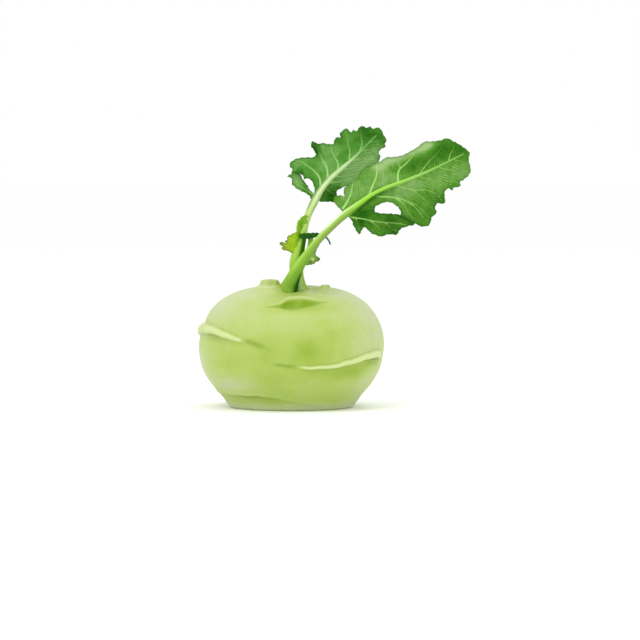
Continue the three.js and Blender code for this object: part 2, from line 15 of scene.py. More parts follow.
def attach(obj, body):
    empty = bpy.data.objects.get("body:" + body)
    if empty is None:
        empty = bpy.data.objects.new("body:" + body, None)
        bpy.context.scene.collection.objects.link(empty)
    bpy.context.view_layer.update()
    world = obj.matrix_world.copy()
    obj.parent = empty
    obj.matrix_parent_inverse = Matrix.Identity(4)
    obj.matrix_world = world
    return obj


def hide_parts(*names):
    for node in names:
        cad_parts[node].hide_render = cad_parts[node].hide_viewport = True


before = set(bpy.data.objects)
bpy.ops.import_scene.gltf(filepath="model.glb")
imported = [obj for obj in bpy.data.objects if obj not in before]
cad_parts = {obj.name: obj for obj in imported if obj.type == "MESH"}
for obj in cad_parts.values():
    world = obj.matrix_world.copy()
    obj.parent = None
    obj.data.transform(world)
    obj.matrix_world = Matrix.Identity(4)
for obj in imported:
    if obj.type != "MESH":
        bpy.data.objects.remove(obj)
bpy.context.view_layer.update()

MM = 0.001
TAU = 2 * math.pi

# ---- Dimensions of the swollen stem ----
# They are close to the CAD's, and were settled against the photograph after it.

FLAT_RADIUS = 29.8
BULB_OUTLINE = [
    (FLAT_RADIUS, 0), (31.3, 1), (32.8, 3), (35.1, 6), (37.7, 9), (40.2, 12), (42.7, 16), (44.5, 20),
    (45.5, 25), (45.8, 30), (45.5, 35), (44.6, 40), (43.1, 44), (40.8, 48), (37.8, 51.4), (33.9, 54.2),
    (29, 56.5), (23.7, 57.8), (18.5, 58.4), (13, 58.5), (6, 58.3), (0, 58.2),
]
CROWN_HEIGHT = BULB_OUTLINE[-1][1]
CROWN_LEAN = 0.115

# Rims round the old leaf scars, each a rounded cord on a low step: stations of azimuth in degrees, height,
# how far it stands out and its half thickness. "step" is the share of the lift that the skin above keeps,
# which runs out over "above", and "pale" and "dark" are how much its crest and the painted shade in the
# creases beside it show. Where there is a "dark_at", that painted shade shows most at that azimuth, over that
# many degrees either side, and "pool" is how much of it spreads below the rim there as a painted shadow.
# Where there is a
# "pale_from", the crest is only half as pale to the left of those azimuths.
SCAR_RIMS = [
    dict(step=0.5, above=4, pale=0.9, dark=0.6, dark_at=(-58, 12), pale_from=(-76, -64), stations=[
        (-166, 33, 0, 1.3), (-145, 35, 1, 1.8), (-125, 37, 1.5, 2.4), (-106, 38.2, 1.8, 3.1),
        (-92, 38.8, 1.9, 3.3), (-78, 39.8, 1.85, 2.6), (-64, 40.1, 1.6, 2), (-54, 39.4, 1.4, 1.75),
        (-46, 38.2, 1.25, 1.65), (-39, 37.1, 1, 1.4), (-34.5, 36.4, 0.6, 1.1), (-31, 36, 0, 0.7)]),
    dict(step=0.35, above=5, pale=1, dark=0.85, dark_at=(64, 11), stations=[
        (2, 22.7, 0, 0.5), (8, 22.5, 0.4, 0.8), (13, 22.4, 0.7, 0.9), (24, 22.7, 0.9, 1.05),
        (35, 24.1, 1.1, 1.35), (46, 25.8, 1.25, 1.55), (55, 27.1, 1.5, 1.6), (62, 27.6, 1.7, 1.75),
        (67, 27.5, 1.7, 1.8), (70, 27.3, 1.2, 1.7), (73, 26.9, 0.3, 1.4), (76, 26.7, 0, 1.1)]),
    dict(step=0.9, above=2.5, pale=0.12, dark=0.7, dark_at=(-34, 21), pool=0, stations=[
        (-112, 6.4, 0, 0.6), (-92, 7.8, 0.4, 0.7), (-70, 8.2, 0.3, 0.8), (-48, 8.3, 0.4, 0.9),
        (-36, 8.3, 0.6, 0.9), (-20, 8, 0.55, 0.9), (-8, 6.8, 0.35, 0.8), (8, 4.8, 0.3, 0.7),
        (24, 3, 0.2, 0.6), (38, 1.9, 0, 0.5)]),
    dict(step=0.6, above=4, pale=0.8, dark=0.8, stations=[
        (100, 20, 0, 1), (118, 21.6, 0.8, 1.3), (140, 20.8, 1.2, 1.5), (160, 18.4, 1.3, 1.5),
        (180, 15.6, 1.1, 1.4), (200, 13.4, 0.7, 1.1), (217, 11, 0, 0.9)]),
    dict(step=0.5, above=3, pale=0.9, dark=0.9, stations=[
        (108, 42, 0, 0.9), (123, 44.8, 0.9, 1.3), (143, 46.8, 1.4, 1.7), (163, 46.9, 1.4, 1.7),
        (179, 45.6, 0.9, 1.3), (194, 43.4, 0, 0.9)]),
    dict(step=0.5, above=3.5, pale=0.9, dark=0.9, stations=[
        (170, 24.6, 0, 0.9), (184, 26.2, 0.8, 1.2), (202, 27.4, 1.4, 1.6), (220, 27.6, 1.5, 1.7),
        (240, 26.2, 1.1, 1.4), (256, 24.2, 0.5, 1), (269, 22.4, 0, 0.8)]),
]
# Furrows that carry on from the rims' ends: stations of azimuth and height, with the depth and half width.
# The deeper a furrow, the darker the painted shade in it.
FURROWS = [
    dict(deep=0.42, half=1.5, line=[(-31, 36.2), (-28, 35.7), (-24, 34.9), (-19, 33.5), (-14, 32.3)]),
    dict(deep=0.4, half=0.8, line=[(-11, 24), (-7, 23.7), (-2, 23.2), (4, 22.6)]),
    dict(deep=0.3, half=0.9, line=[(128, 30.4), (140, 29), (152, 27), (166, 24.8)]),
    dict(deep=0.3, half=0.9, line=[(194, 43.4), (205, 41.4), (215, 40.4)]),
]
# Broad swellings of the skin: azimuth, height, their reach in degrees and in millimetres, and how far out.
SWELLINGS = [(88, 34, 30, 11, 1.0), (-95, 30, 28, 8, 0.5), (48, 20, 22, 4, -0.35)]
# The youngest scar, high on the front, as seen from there: x and the heights of its upper and lower edge.
# It is a hollow like a slanted lens under a lip.
YOUNG_SCAR = [
    (-12.4, 52.1, 51.8), (-10.1, 52.4, 51.7), (-5.5, 53.1, 51.1), (-3, 54.5, 50.6), (-1, 55.4, 50.4),
    (3.6, 55.7, 50.8), (6.7, 55.6, 51.4), (9.8, 55.2, 52.1), (12.8, 54.7, 52.8), (15.5, 54.4, 53.7),
    (18, 54.4, 54.2),
]
SCAR_DEEP = 1.7
LIP_OUT = 0.55
# Cut stubs of stalks on the crown: centre, half widths, top, how much lower the top is at the front, how far
# the crown climbs their foot and over what share of their width, how pale their left side is as painted light
# and how corky their cut is.
STUBS = [
    dict(at=(-10.6, -4), half=(4.9, 3.4), top=63.6, slope=0.12, skirt=0.55, skirt_wide=0.8, lit_side=0.4,
         cork=0.9),
    dict(at=(17, -4), half=(2.4, 2), top=61.2, slope=0.1, skirt=0.6, skirt_wide=1.1, lit_side=0.8, cork=0.4),
    dict(at=(1, 15), half=(3.4, 2.6), top=64, slope=-0.1, skirt=0.3, skirt_wide=0.6, lit_side=0, cork=1),
]
ROOT_RADIUS = 7.5  # of the cut root in the middle of the underside

# Where the skin is paler (+) or greener (-), as waxy bloom with painted light on the flanks and painted shade
# under
# the rims: azimuth, reach in degrees, height, reach in millimetres and amount.
BLOOM_AND_LIGHT_PATCHES = [
    (-46, 20, 12.5, 4, 0.55), (63, 11, 16, 6, 0.35), (47, 15, 33, 8, 0.16), (60, 11, 23.5, 2.2, -0.3),
    (-90, 24, 21, 9, 0.3), (8, 24, 31, 11, -0.16), (10.5, 7.5, 31.5, 7, -0.23), (46, 24, 19.5, 4, -0.42),
    (-45, 22, 24, 8, -0.14),
]
# The same where it sets in with the height, with painted light on the shoulders: azimuth, reach in degrees,
# from height, to height, amount.
BLOOM_AND_LIGHT_SHOULDERS = [(-48, 34, 36, 50, 0.22), (62, 30, 20, 40, 0.2), (4, 45, 49, 55, -0.46)]

BULB_COLUMNS = 340
BULB_ROWS = 270
BASE_ROWS = 22

# ---- Dimensions of the leaves ----
# They are close to the CAD's, and were settled against the photograph after it, too.

# The front view in which the leaves' tables are drawn: its elevation, its distance and its middle.
VIEW_ELEVATION = math.radians(2.5)
VIEW_DISTANCE = 1600
VIEW_MIDDLE = (14.25, 45.5)
LEAF_DROP = 2  # how much lower than in the tables the leaves stand
RIGHT_STALK = [
    (-2.4, -7.8, 57, 4.1), (-1, -7.8, 61.5, 3.75), (1.6, -7.8, 68, 3.1), (4.6, -7.8, 73.6, 2.5),
    (8.25, -8.2, 79.1, 1.95), (13.1, -9, 85.05, 1.8), (19.2, -9.8, 91.4, 1.85), (25.7, -10.2, 97.4, 1.95),
    (33.2, -10.4, 102.6, 1.9), (40.4, -10.2, 107.8, 1.4), (48.4, -9.8, 111.8, 1.15), (57, -9, 115, 0.95),
    (66.6, -7.6, 119, 0.78), (77, -5.4, 123.9, 0.6), (86.2, -2.8, 128.6, 0.4),
]
LEFT_STALK = [
    (3.7, 0.8, 57, 4), (3.2, 0.9, 62.4, 3.6), (2.55, 1, 68.5, 3.3), (2.5, 1.5, 74.5, 3.35),
    (3.7, 2.2, 80.5, 2.8), (5.2, 3, 86.4, 2.2), (6.5, 4, 92.1, 1.85), (8.5, 5, 98.4, 1.75),
    (11.6, 6, 105, 2), (15.2, 6.4, 111.2, 1.65), (19.9, 6.6, 116.7, 1.45), (26.2, 7, 122.1, 1.1),
    (32.2, 7.7, 127.4, 0.8), (37.5, 8.7, 132.8, 0.6), (42.5, 10, 137.8, 0.45),
]
RIGHT_EDGE = [
    (25.8, 99.5), (23.3, 102), (21.3, 104.5), (21.5, 107), (24.3, 107.8), (26.5, 107.5), (26, 110.3),
    (27.3, 112.3), (29.8, 114), (32.3, 116.3), (34.5, 119.5), (37.3, 122.3), (41.8, 123.8), (44.8, 125),
    (47.3, 126.8), (51.3, 127), (55.3, 127.8), (59.3, 129.8), (62.8, 131.8), (66.3, 134.5), (70.3, 134.8),
    (74.3, 135.3), (77.8, 136.3), (80.8, 135), (84.3, 133), (87.3, 130.8), (89, 129), (88.6, 125.5),
    (89.5, 121.5), (89, 118.5), (86.3, 115.8), (84.3, 114.6), (84.2, 112.2), (81.3, 111.8), (80.4, 110.3),
    (78.3, 111.3), (76.5, 109), (76.6, 104), (72.8, 103.8), (71.8, 101.5), (72.5, 99), (70.3, 97),
    (68.8, 93), (64.8, 92.3), (62, 93.8), (58, 96), (55, 97.6), (54.3, 100.5), (51.3, 103.5), (47.8, 104.5),
    (44.3, 103.5), (41.8, 102), (42, 99.5), (45.8, 98.6), (49.3, 97.6), (54, 96), (57, 94.6), (61, 92.6),
    (60.3, 91.3), (57.3, 91), (53.8, 90), (52.8, 88.2), (48.3, 88.3), (44.8, 87.2), (42.3, 88), (39.8, 89),
    (37.5, 91.3), (36, 91.8), (35, 90), (33.8, 88.4), (32.3, 90.5), (30.8, 93), (30, 95.5),
]
LEFT_EDGE = [
    (10.3, 105.5), (9, 107.5), (7.3, 108.8), (4.8, 110), (2.3, 111.5), (0.4, 112.8), (0.2, 114.3),
    (-0.3, 115.7), (-2.3, 115.8), (-0.5, 117), (1.5, 118.1), (3.4, 117.6), (4.5, 116.7), (6, 115.3),
    (7.8, 112.9), (9.6, 110.1), (11.2, 108.8), (11.6, 110.8), (11, 113.2), (10.1, 115.1), (8.9, 116),
    (7.3, 116.3), (5.8, 116), (6.2, 117.1), (5.6, 117.9), (4.3, 118.5), (2.3, 119.2), (0, 119.2),
    (0.4, 121), (-1, 122.5), (-0.3, 124.5), (1.8, 125.8), (4.3, 126.5), (7.8, 126.8), (11.3, 127),
    (12.1, 128.8), (11, 130.8), (9.8, 132.5), (10.2, 134.6), (11.8, 134.5), (13.3, 133.5), (15.3, 134),
    (18.3, 133.5), (20.8, 133.5), (21.5, 135.5), (22.5, 136.8), (24.4, 136.8), (24.3, 139), (25.8, 140.3),
    (27.5, 141.4), (28.8, 140), (30, 139.4), (31, 140.5), (32.8, 140), (33.8, 141.8), (35.8, 142.4),
    (37.8, 141.5), (39.3, 142.4), (40.5, 141), (42.3, 141.6), (44.3, 141.3), (45.5, 139.3), (46.3, 137.5),
    (47.6, 135.5), (46.7, 133.8), (47, 132.2), (45, 131), (43.6, 129.5), (44.4, 127), (43.3, 124.5),
    (40.8, 121.5), (39.8, 119), (36.3, 117), (34.3, 114.5), (30.3, 113.5), (26.8, 112.3), (23.3, 110.5),
    (22.4, 109), (23.3, 107), (21.8, 104.5), (18.8, 104.7), (15.8, 104.6),
]
RIGHT_CUT = dict(line=[(42, 100.8), (61.5, 93.2)], past=-1, shuts=(2, 14))
LEFT_CUT = dict(line=[(11.5, 109.6), (9.5, 113.2), (7.2, 116), (5.3, 117.8), (3, 118.7), (-3, 118.5)], past=1,
                shuts=(8, 12.5))
# How the blades hang from their midribs: how steeply each half bends back, the height and length of its
# waves, and how far back and how far shut the lobe beyond the cut is drawn. comb_upper and comb_lower are how
# far ahead the fine parallel veins lean, and combed is where those show: x, height, radius, amount.
# shaded_until is where along the midrib the shade under it runs out.
RIGHT_HANG = dict(
    shaded_until=(70, 84), bend_upper=0.34, bend_lower=0.26, wave=2.2, wave_length=17, tuck=2.6, close=2.2,
    comb_upper=0.55, comb_lower=0.9,
    combed=[(35, 108, 10, 0.32), (50, 119, 6, 0.32), (72, 114, 10, 0.5), (62, 104, 7, 0.35), (46, 92, 8, 0.2),
            (80, 118, 7, 0.5)])
LEFT_HANG = dict(
    shaded_until=(55, 64), bend_upper=0.3, bend_lower=0.22, wave=2, wave_length=15, tuck=2.4, close=1.5,
    comb_upper=0.65, comb_lower=0.85,
    combed=[(28, 117, 6, 0.65), (35, 122, 6, 0.65), (41, 129, 6, 0.5), (24, 112, 4, 0.5), (20, 128, 7, 0.2),
            (7, 121, 6, 0.2)])

# Side veins, each from the midrib outwards, with the half width at its root and how pale its end still is.
RIGHT_VEINS = [
    (0.6, 0.4, [(25.8, 101), (27.8, 104), (29.8, 108.5), (30.8, 114), (33.8, 118)]),
    (0.6, 0.85, [(38.8, 107.5), (40.3, 111.5), (42.3, 116.5), (42.8, 120.5), (42.3, 123.3)]),
    (0.6, 0.45, [(53.3, 114), (53.3, 118.5), (54.3, 121), (57.3, 123.5), (59.8, 126.5), (62.3, 130.3)]),
    (0.3, 0.4, [(54.3, 121), (53.3, 124), (52.8, 126.6)]),
    (0.36, 0.3, [(64.3, 118.7), (66.3, 121.5), (68.8, 124.5), (70.8, 126.5), (73.3, 129.5), (75.8, 132.3)]),
    (0.35, 0.3, [(78.5, 125), (79.3, 128), (80.8, 130.5), (81, 133)]),
    (0.55, 0.55, [(40.5, 108), (43.5, 107.4), (46.8, 107.3), (51.8, 106.8), (56.8, 105.3), (60.8, 102.8),
                  (63.8, 100), (65.8, 96.5)]),
    (0.38, 0.5, [(51.5, 106.8), (55.8, 103.5), (58.3, 99.5), (60.8, 96)]),
    (0.3, 0.4, [(57.5, 105), (62.5, 103), (67.3, 98.5), (69.5, 95.5)]),
    (0.5, 0.5, [(29.5, 97.2), (35.3, 96.2), (41.8, 94.8), (49.3, 93.5), (57, 91.4)]),
    (0.25, 0.4, [(38, 95.6), (42.5, 92.6), (45, 89.2)]),
    (0.25, 0.4, [(45.5, 94.2), (50, 91.2), (52.5, 89.6)]),
    (0.25, 0.4, [(31.8, 96.6), (33.3, 93.5), (33.9, 90.5)]),
    (0.35, 0.8, [(51.5, 113), (56, 111.8), (61.8, 110.5), (67.8, 110.3), (72.3, 108.3), (75, 105.5)]),
    (0.25, 0.4, [(60, 111), (66.3, 106), (69.3, 102.8), (71, 100.3)]),
    (0.3, 0.4, [(62.5, 117.6), (68, 116), (74.3, 114.5), (81, 112.8)]),
    (0.3, 0.4, [(72.5, 122.2), (79, 120.6), (87.5, 119)]),
    (0.25, 0.4, [(80, 125.8), (84, 125), (88.3, 124)]),
]
LEFT_VEINS = [
    (0.58, 0.3, [(14.6, 111.5), (14.3, 116), (12.3, 119), (8.8, 122), (4.8, 124.5), (1.8, 125)]),
    (0.6, 0.15, [(18.3, 115.8), (17.8, 121.5), (15.8, 125), (14.3, 128), (12.8, 132)]),
    (0.55, 0.2, [(23, 119.8), (23.3, 123.5), (21.8, 126.5), (20.3, 129.5), (19.6, 132.5)]),
    (0.45, 0.1, [(28.8, 124.8), (29.3, 130), (28.3, 133), (27.8, 137.5), (27.4, 140)]),
    (0.4, 0.15, [(34, 129.5), (35.3, 133.5), (34.8, 137), (34.8, 140.5)]),
    (0.45, 0.4, [(16.8, 114), (19.3, 114.2), (24.3, 115), (30.3, 116.3), (34.5, 116.5)]),
    (0.4, 0.4, [(20, 117.2), (25, 117.4), (30, 118), (35.5, 119)]),
    (0.4, 0.4, [(23.5, 120.3), (30.3, 121.4), (37.3, 122.8), (41, 123)]),
    (0.35, 0.4, [(29, 124.9), (36.8, 126.6), (43, 128.3)]),
    (0.3, 0.4, [(34.3, 129.8), (39.5, 130.8), (45, 132.5)]),
    (0.3, 0.4, [(38.5, 134.2), (42.5, 135), (46.3, 135.8)]),
    (0.35, 0.4, [(12.2, 107.3), (9.5, 110), (6.5, 113), (2.8, 116)]),
    (0.25, 0.4, [(12, 107), (8, 110.2), (4.3, 112.2), (1, 113.5)]),
    (0.3, 0.4, [(15.6, 112), (19, 109.8), (22.6, 107.6)]),
]
# Soft patches where a blade is lighter (+) or darker (-) than its mean green, mostly painted light and
# painted shade over the blade's own uneven green: x, height, radius, amount.
RIGHT_TONE_AND_LIGHT = [
    (63, 124, 7, -0.34), (72, 129, 6.5, -0.42), (80, 130.5, 6, -0.36), (86, 130, 4, -0.3),
    (59, 120, 5, -0.14), (47.5, 118, 5, 0.16), (33, 108, 7, 0.06), (45, 113, 5, 0.02),
    (56, 128.5, 3.5, 0.3), (66, 133, 4.5, 0.5), (48, 125.5, 3.5, 0.2), (80, 119, 8, 0.06),
    (70, 115, 6, 0.08), (74, 106, 5, -0.36), (70, 98, 5, -0.26), (55, 109, 5, 0.12), (67, 108, 4, -0.14),
    (34, 98.5, 5, -0.5), (42, 100.8, 5, -0.3), (35, 93, 6, -0.3), (50, 91.5, 8, -0.36), (59, 93, 5, -0.2),
    (57, 97, 3, 0.05), (50, 122, 4, -0.25), (57, 127, 3.5, -0.32), (24, 107, 2.5, -0.2),
    (25.5, 107, 1.6, 0.35), (62.5, 102, 4, -0.3), (48.5, 95.5, 3, -0.22), (79, 113.5, 3.5, -0.2),
    (61, 114, 4, 0.2), (42, 122.5, 2.5, 0.2),
]
LEFT_TONE_AND_LIGHT = [
    (38, 137, 6, -0.42), (44, 138, 4, -0.12), (30, 136, 4.5, 0.02), (25, 137, 4, -0.1), (21, 130, 4, 0.1),
    (41, 127, 5, 0.22), (34, 121, 5, 0.34), (12, 121, 5, -0.02), (3, 115, 5, 0.2), (9, 117, 3.5, -0.2),
    (4, 123, 3, 0.1), (17, 123, 4, 0.14), (5, 111, 3, 0.08), (20, 107, 4, -0.52), (24.5, 109.5, 3, -0.35),
    (27, 126, 3.5, -0.24), (30, 118, 6, 0.3), (38, 124, 6, 0.2), (12, 130.5, 2.6, -0.42),
    (36, 141, 3, -0.2), (24, 134, 3, -0.1), (28, 113.5, 3, 0.35), (9.8, 131, 1.5, -0.4),
    (15, 131.5, 2, 0.2), (9, 114, 3, -0.2), (8, 110, 4, -0.25), (10.5, 118, 2, 0.2), (42, 131.5, 3, 0.2),
    (30, 131.5, 3.5, -0.12), (7.6, 113.2, 1.1, -0.7), (9, 111, 1, -0.6), (4, 119.8, 1.7, -0.45),
    (5.4, 118.8, 1, -0.4),
]
# The lobes and the wing on the stalks. "root" is the line along which each grows out of its stalk, "sunk" is
# how far it sinks into it there, "colours" are those of its root, middle, tip and rim, and "spots" are paler
# (+) and darker (-) spots: x, height, radius, amount.
FLAPS = dict(
    right_wing=dict(
        slot="front_stalk", node="right_leaf_stalk", material="wing_green", translucent=0.1,
        colours=[(150, 198, 78), (152, 198, 84), (116, 164, 66), (84, 122, 52)],
        depth=-8.6, fall=0.34, sunk=2.4, root=[(4, 74.4), (8, 80), (12, 85), (14.4, 87)],
        spots=[(10.4, 75.9, 1.0, 1.0), (9.5, 74.7, 0.8, -1.0), (8, 75.4, 0.7, 0.4), (13.6, 76.1, 1.2, -0.5),
               (11.3, 79.3, 1.1, -0.35)],
        edge=[(14.8, 86.6), (13.6, 82.5), (12.4, 80.3), (12.2, 77.6), (14.2, 76.6), (13.8, 75.3),
              (12.2, 74.4), (10.2, 73.2), (7.8, 73), (5.6, 72.6), (4, 74.4), (8, 80), (12, 85)]),
    left_lobe=dict(
        slot="back_stalk", node="left_leaf_stalk", material="lobe_yellow", translucent=0.25,
        colours=[(150, 206, 44), (180, 226, 24), (178, 202, 60), (118, 140, 52)],
        depth=0.1, fall=0.16, sunk=0.8, root=[(3.8, 78), (3.8, 91)],
        spots=[(-5.6, 84.2, 1.2, -0.7), (-2.4, 85.6, 0.8, -0.4)],
        edge=[(2.9, 90), (1, 88.8), (-1.2, 87.8), (-2.2, 86.8), (-2.2, 85.6), (-3.3, 84.9), (-2.6, 84.1),
              (-5.7, 84.4), (-5.8, 83.3), (-4.4, 82.5), (-5, 81.4), (-3.5, 80.3), (-1.6, 80.1), (-0.2, 79.2),
              (1.4, 78.7), (3.2, 79), (3.8, 84), (3.8, 89.6)]),
    left_small_lobe=dict(
        slot="back_stalk", node="left_leaf_stalk", material="small_lobe_green", translucent=0.2,
        colours=[(172, 216, 90), (126, 190, 0), (150, 196, 50), (190, 220, 110)],
        depth=2.1, fall=0.1, sunk=0.8, root=[(5, 87), (7.7, 93), (8.4, 99)],
        spots=[(5, 93.8, 0.8, -0.5), (5, 92.3, 0.7, -0.6), (5.1, 91, 0.7, -0.4), (5.7, 97.3, 1.0, -0.4),
               (6.3, 92.5, 0.8, 0.5)],
        edge=[(7, 98), (5.6, 97.3), (4.2, 96.2), (2.9, 94.2), (2.5, 91.6), (2.6, 89.2), (3.8, 87.6),
              (6.2, 89.4), (7.6, 93), (8.2, 97)]),
)
LEAFLET_STEM = [(9.7, -0.4, 87.2, 1.25), (9.5, 0.2, 84.8, 1.25), (8.9, 0.9, 82.2, 1), (7.3, 1.9, 79.4, 0.8)]
NARROW_LEAFLET = [
    (4.3, 0.2, 87.4, 1.2), (5, -0.8, 87.5, 1.8), (8.8, -1.8, 87.7, 2), (13, -2.2, 88.1, 1.5),
    (16.4, -2.6, 87.4, 0.8), (18.2, -2.8, 85.8, 0.4), (19.4, -2.8, 83.2, 0.18),
]
BLADE_THICK = 0.6
FLAP_THICK = 0.7
BLADE_CELL = 0.62  # the side of the triangles that fill a blade
FLAP_CELL = 0.5
BLADE_EDGE_STEP = 0.55  # between the points of a blade's edge
FLAP_EDGE_STEP = 0.45
STALK_SIDES = 56
AT_A_TIME = 2000  # points whose distances are worked out together
CAD_BLADE_GAP = 0.8  # how far behind its midrib the CAD's blade starts

# ---- Colours, lights and camera ----

GREEN_DEPTHS = (0.6, 1.0, 0.3)  # how deep red, green and blue light goes into the flesh, as shares of a scale
PAINT = 0.8  # the studio is bright, so surfaces are this much darker than they look in it
BLADE_GLOW = 0.16  # the share of light that shines through a blade
FLOOR_HALF = 40000
# The lights' name, place, target, size and watts. These and the camera's target are in metres.
LIGHTS = [
    ("key", (-0.5, -0.7, 1.0), (0.02, 0, 0.06), 0.7, 4),
    ("top", (0.3, 0.1, 1.1), (0.02, 0, 0.05), 0.8, 1.6),
    ("fill", (0.9, -0.9, 0.5), (0.02, 0, 0.07), 0.8, 1.2),
]
CAMERA_TARGET = (0.01425, 0, 0.04354)  # the middle of the view

# ---- Curves and meshes ----

def clamp01(x):
    return np.clip(x, 0.0, 1.0)


def smoothstep(low, high, x):
    t = clamp01((np.asarray(x, float) - low) / (high - low))
    return t * t * (3 - 2 * t)


def fade(low, high, x):
    """1 up to low and 0 from high on."""
    return 1 - smoothstep(low, high, x)


def bell(x, width):
    return np.exp(-(np.asarray(x, float) / width) ** 2)


def turned_from(middle, azimuth):
    """How far azimuths lie from a middle one, from -180 to 180 degrees."""
    return (azimuth - middle + 180) % 360 - 180


def unit(v):
    return v / np.maximum(np.linalg.norm(v, axis=-1, keepdims=True), 1e-9)


def left_of(steps):
    """Which way is to the left of steps in a plane."""
    return unit(np.stack([-steps[:, 1], steps[:, 0]], axis=1))


def step_lengths(points):
    return np.linalg.norm(np.diff(points, axis=0), axis=1)


def run_along(points):
    """How far along a line each of its points lies."""
    return np.concatenate([[0], np.cumsum(step_lengths(points))])


def smooth_line(rows, count, space=3, closed=False):
    """Evenly spaced points of a smooth curve through rows, whose first numbers are its place in space."""
    rows = np.asarray(rows, float)
    if closed:
        padded = np.vstack([rows[-1], rows, rows[0], rows[1]])
    else:
        padded = np.vstack([2 * rows[0] - rows[1], rows, 2 * rows[-1] - rows[-2]])
    spans = len(padded) - 3
    t = np.linspace(0, spans, 24 * spans + 1)
    i = np.minimum(t.astype(int), spans - 1)
    f = (t - i)[:, None]
    p0, p1, p2, p3 = (padded[i + k] for k in range(4))
    dense = 0.5 * (2 * p1 + (p2 - p0) * f + (2 * p0 - 5 * p1 + 4 * p2 - p3) * f ** 2
                   + (3 * p1 - p0 - 3 * p2 + p3) * f ** 3)
    run = run_along(dense[:, :space])
    at = np.linspace(0, run[-1], count)
    return np.stack([np.interp(at, run, column) for column in dense.T], axis=1)


def leaned(x, depth, height):
    """From points as seen from the front to the row frame, still in millimetres. What is further back looks
    smaller, so it is that much further from the middle of the view."""
    c, s = math.cos(VIEW_ELEVATION), math.sin(VIEW_ELEVATION)
    nearness = 1 + (np.asarray(depth) + LEAF_DROP) / VIEW_DISTANCE
    x = VIEW_MIDDLE[0] + (x - VIEW_MIDDLE[0]) * nearness
    height = VIEW_MIDDLE[1] + (height - VIEW_MIDDLE[1]) * nearness
    return np.stack([x, depth * c + height * s, height * c - depth * s - LEAF_DROP], axis=-1)


def seen_height(y, z):
    """How high a place of the row frame is as seen from the front."""
    return (z + LEAF_DROP) * math.cos(VIEW_ELEVATION) + y * math.sin(VIEW_ELEVATION)


def leaned_line(stations, count):
    """A smooth line in the row frame through stations of x, depth, height and a width, and where it heads."""
    line = smooth_line([(*leaned(x, depth, height), width) for x, depth, height, width in stations], count)
    return line[:, :3], line[:, 3:], unit(np.gradient(line[:, :3], axis=0))


def patches_at(flat, patches):
    """What soft round patches add up to at each point: they are x, height, radius and amount."""
    x, v = flat.T
    return sum(amount * bell(np.hypot(x - at_x, v - at_v), wide) for at_x, at_v, wide, amount in patches)


def spread(values, first, last):
    """The values of a closed skin's points: its first point's, those of its rows, and its last point's."""
    return np.concatenate([[first], np.ravel(values), [last]])


def wrap_faces(rows, columns):
    """Faces of a closed skin: a first point, rows of columns round it, and a last point."""
    at = 1 + np.arange(rows * columns).reshape(rows, columns)
    beside = np.roll(at, -1, axis=1)
    quads = np.stack([at[:-1], beside[:-1], beside[1:], at[1:]], axis=-1).reshape(-1, 4)
    bottom = [(0, b, a) for a, b in zip(at[0], beside[0])]
    top = [(rows * columns + 1, a, b) for a, b in zip(at[-1], beside[-1])]
    return [*quads, *bottom, *top]


def link_object(name, data):
    thing = bpy.data.objects.new(name, data)
    bpy.context.scene.collection.objects.link(thing)
    return thing


def make_object(name, points, faces, attributes, material):
    mesh = bpy.data.meshes.new(name)
    faces = [tuple(map(int, face)) for face in faces]
    mesh.from_pydata((np.asarray(points) * MM).tolist(), [], faces, shade_flat=False)
    for key, values in attributes.items():
        layer = mesh.attributes.new(key, "FLOAT", "POINT")
        layer.data.foreach_set("value", np.asarray(values, np.float32))
    mesh.materials.append(material)
    return link_object(name, mesh)


# ---- Node materials ----

def linear(colour):
    """An sRGB colour of 0-255 numbers as it should look in this studio, as its surface's linear RGBA."""
    share = [c / 255 for c in colour]
    return [PAINT * (c / 12.92 if c <= 0.04045 else ((c + 0.055) / 1.055) ** 2.4) for c in share] + [1.0]


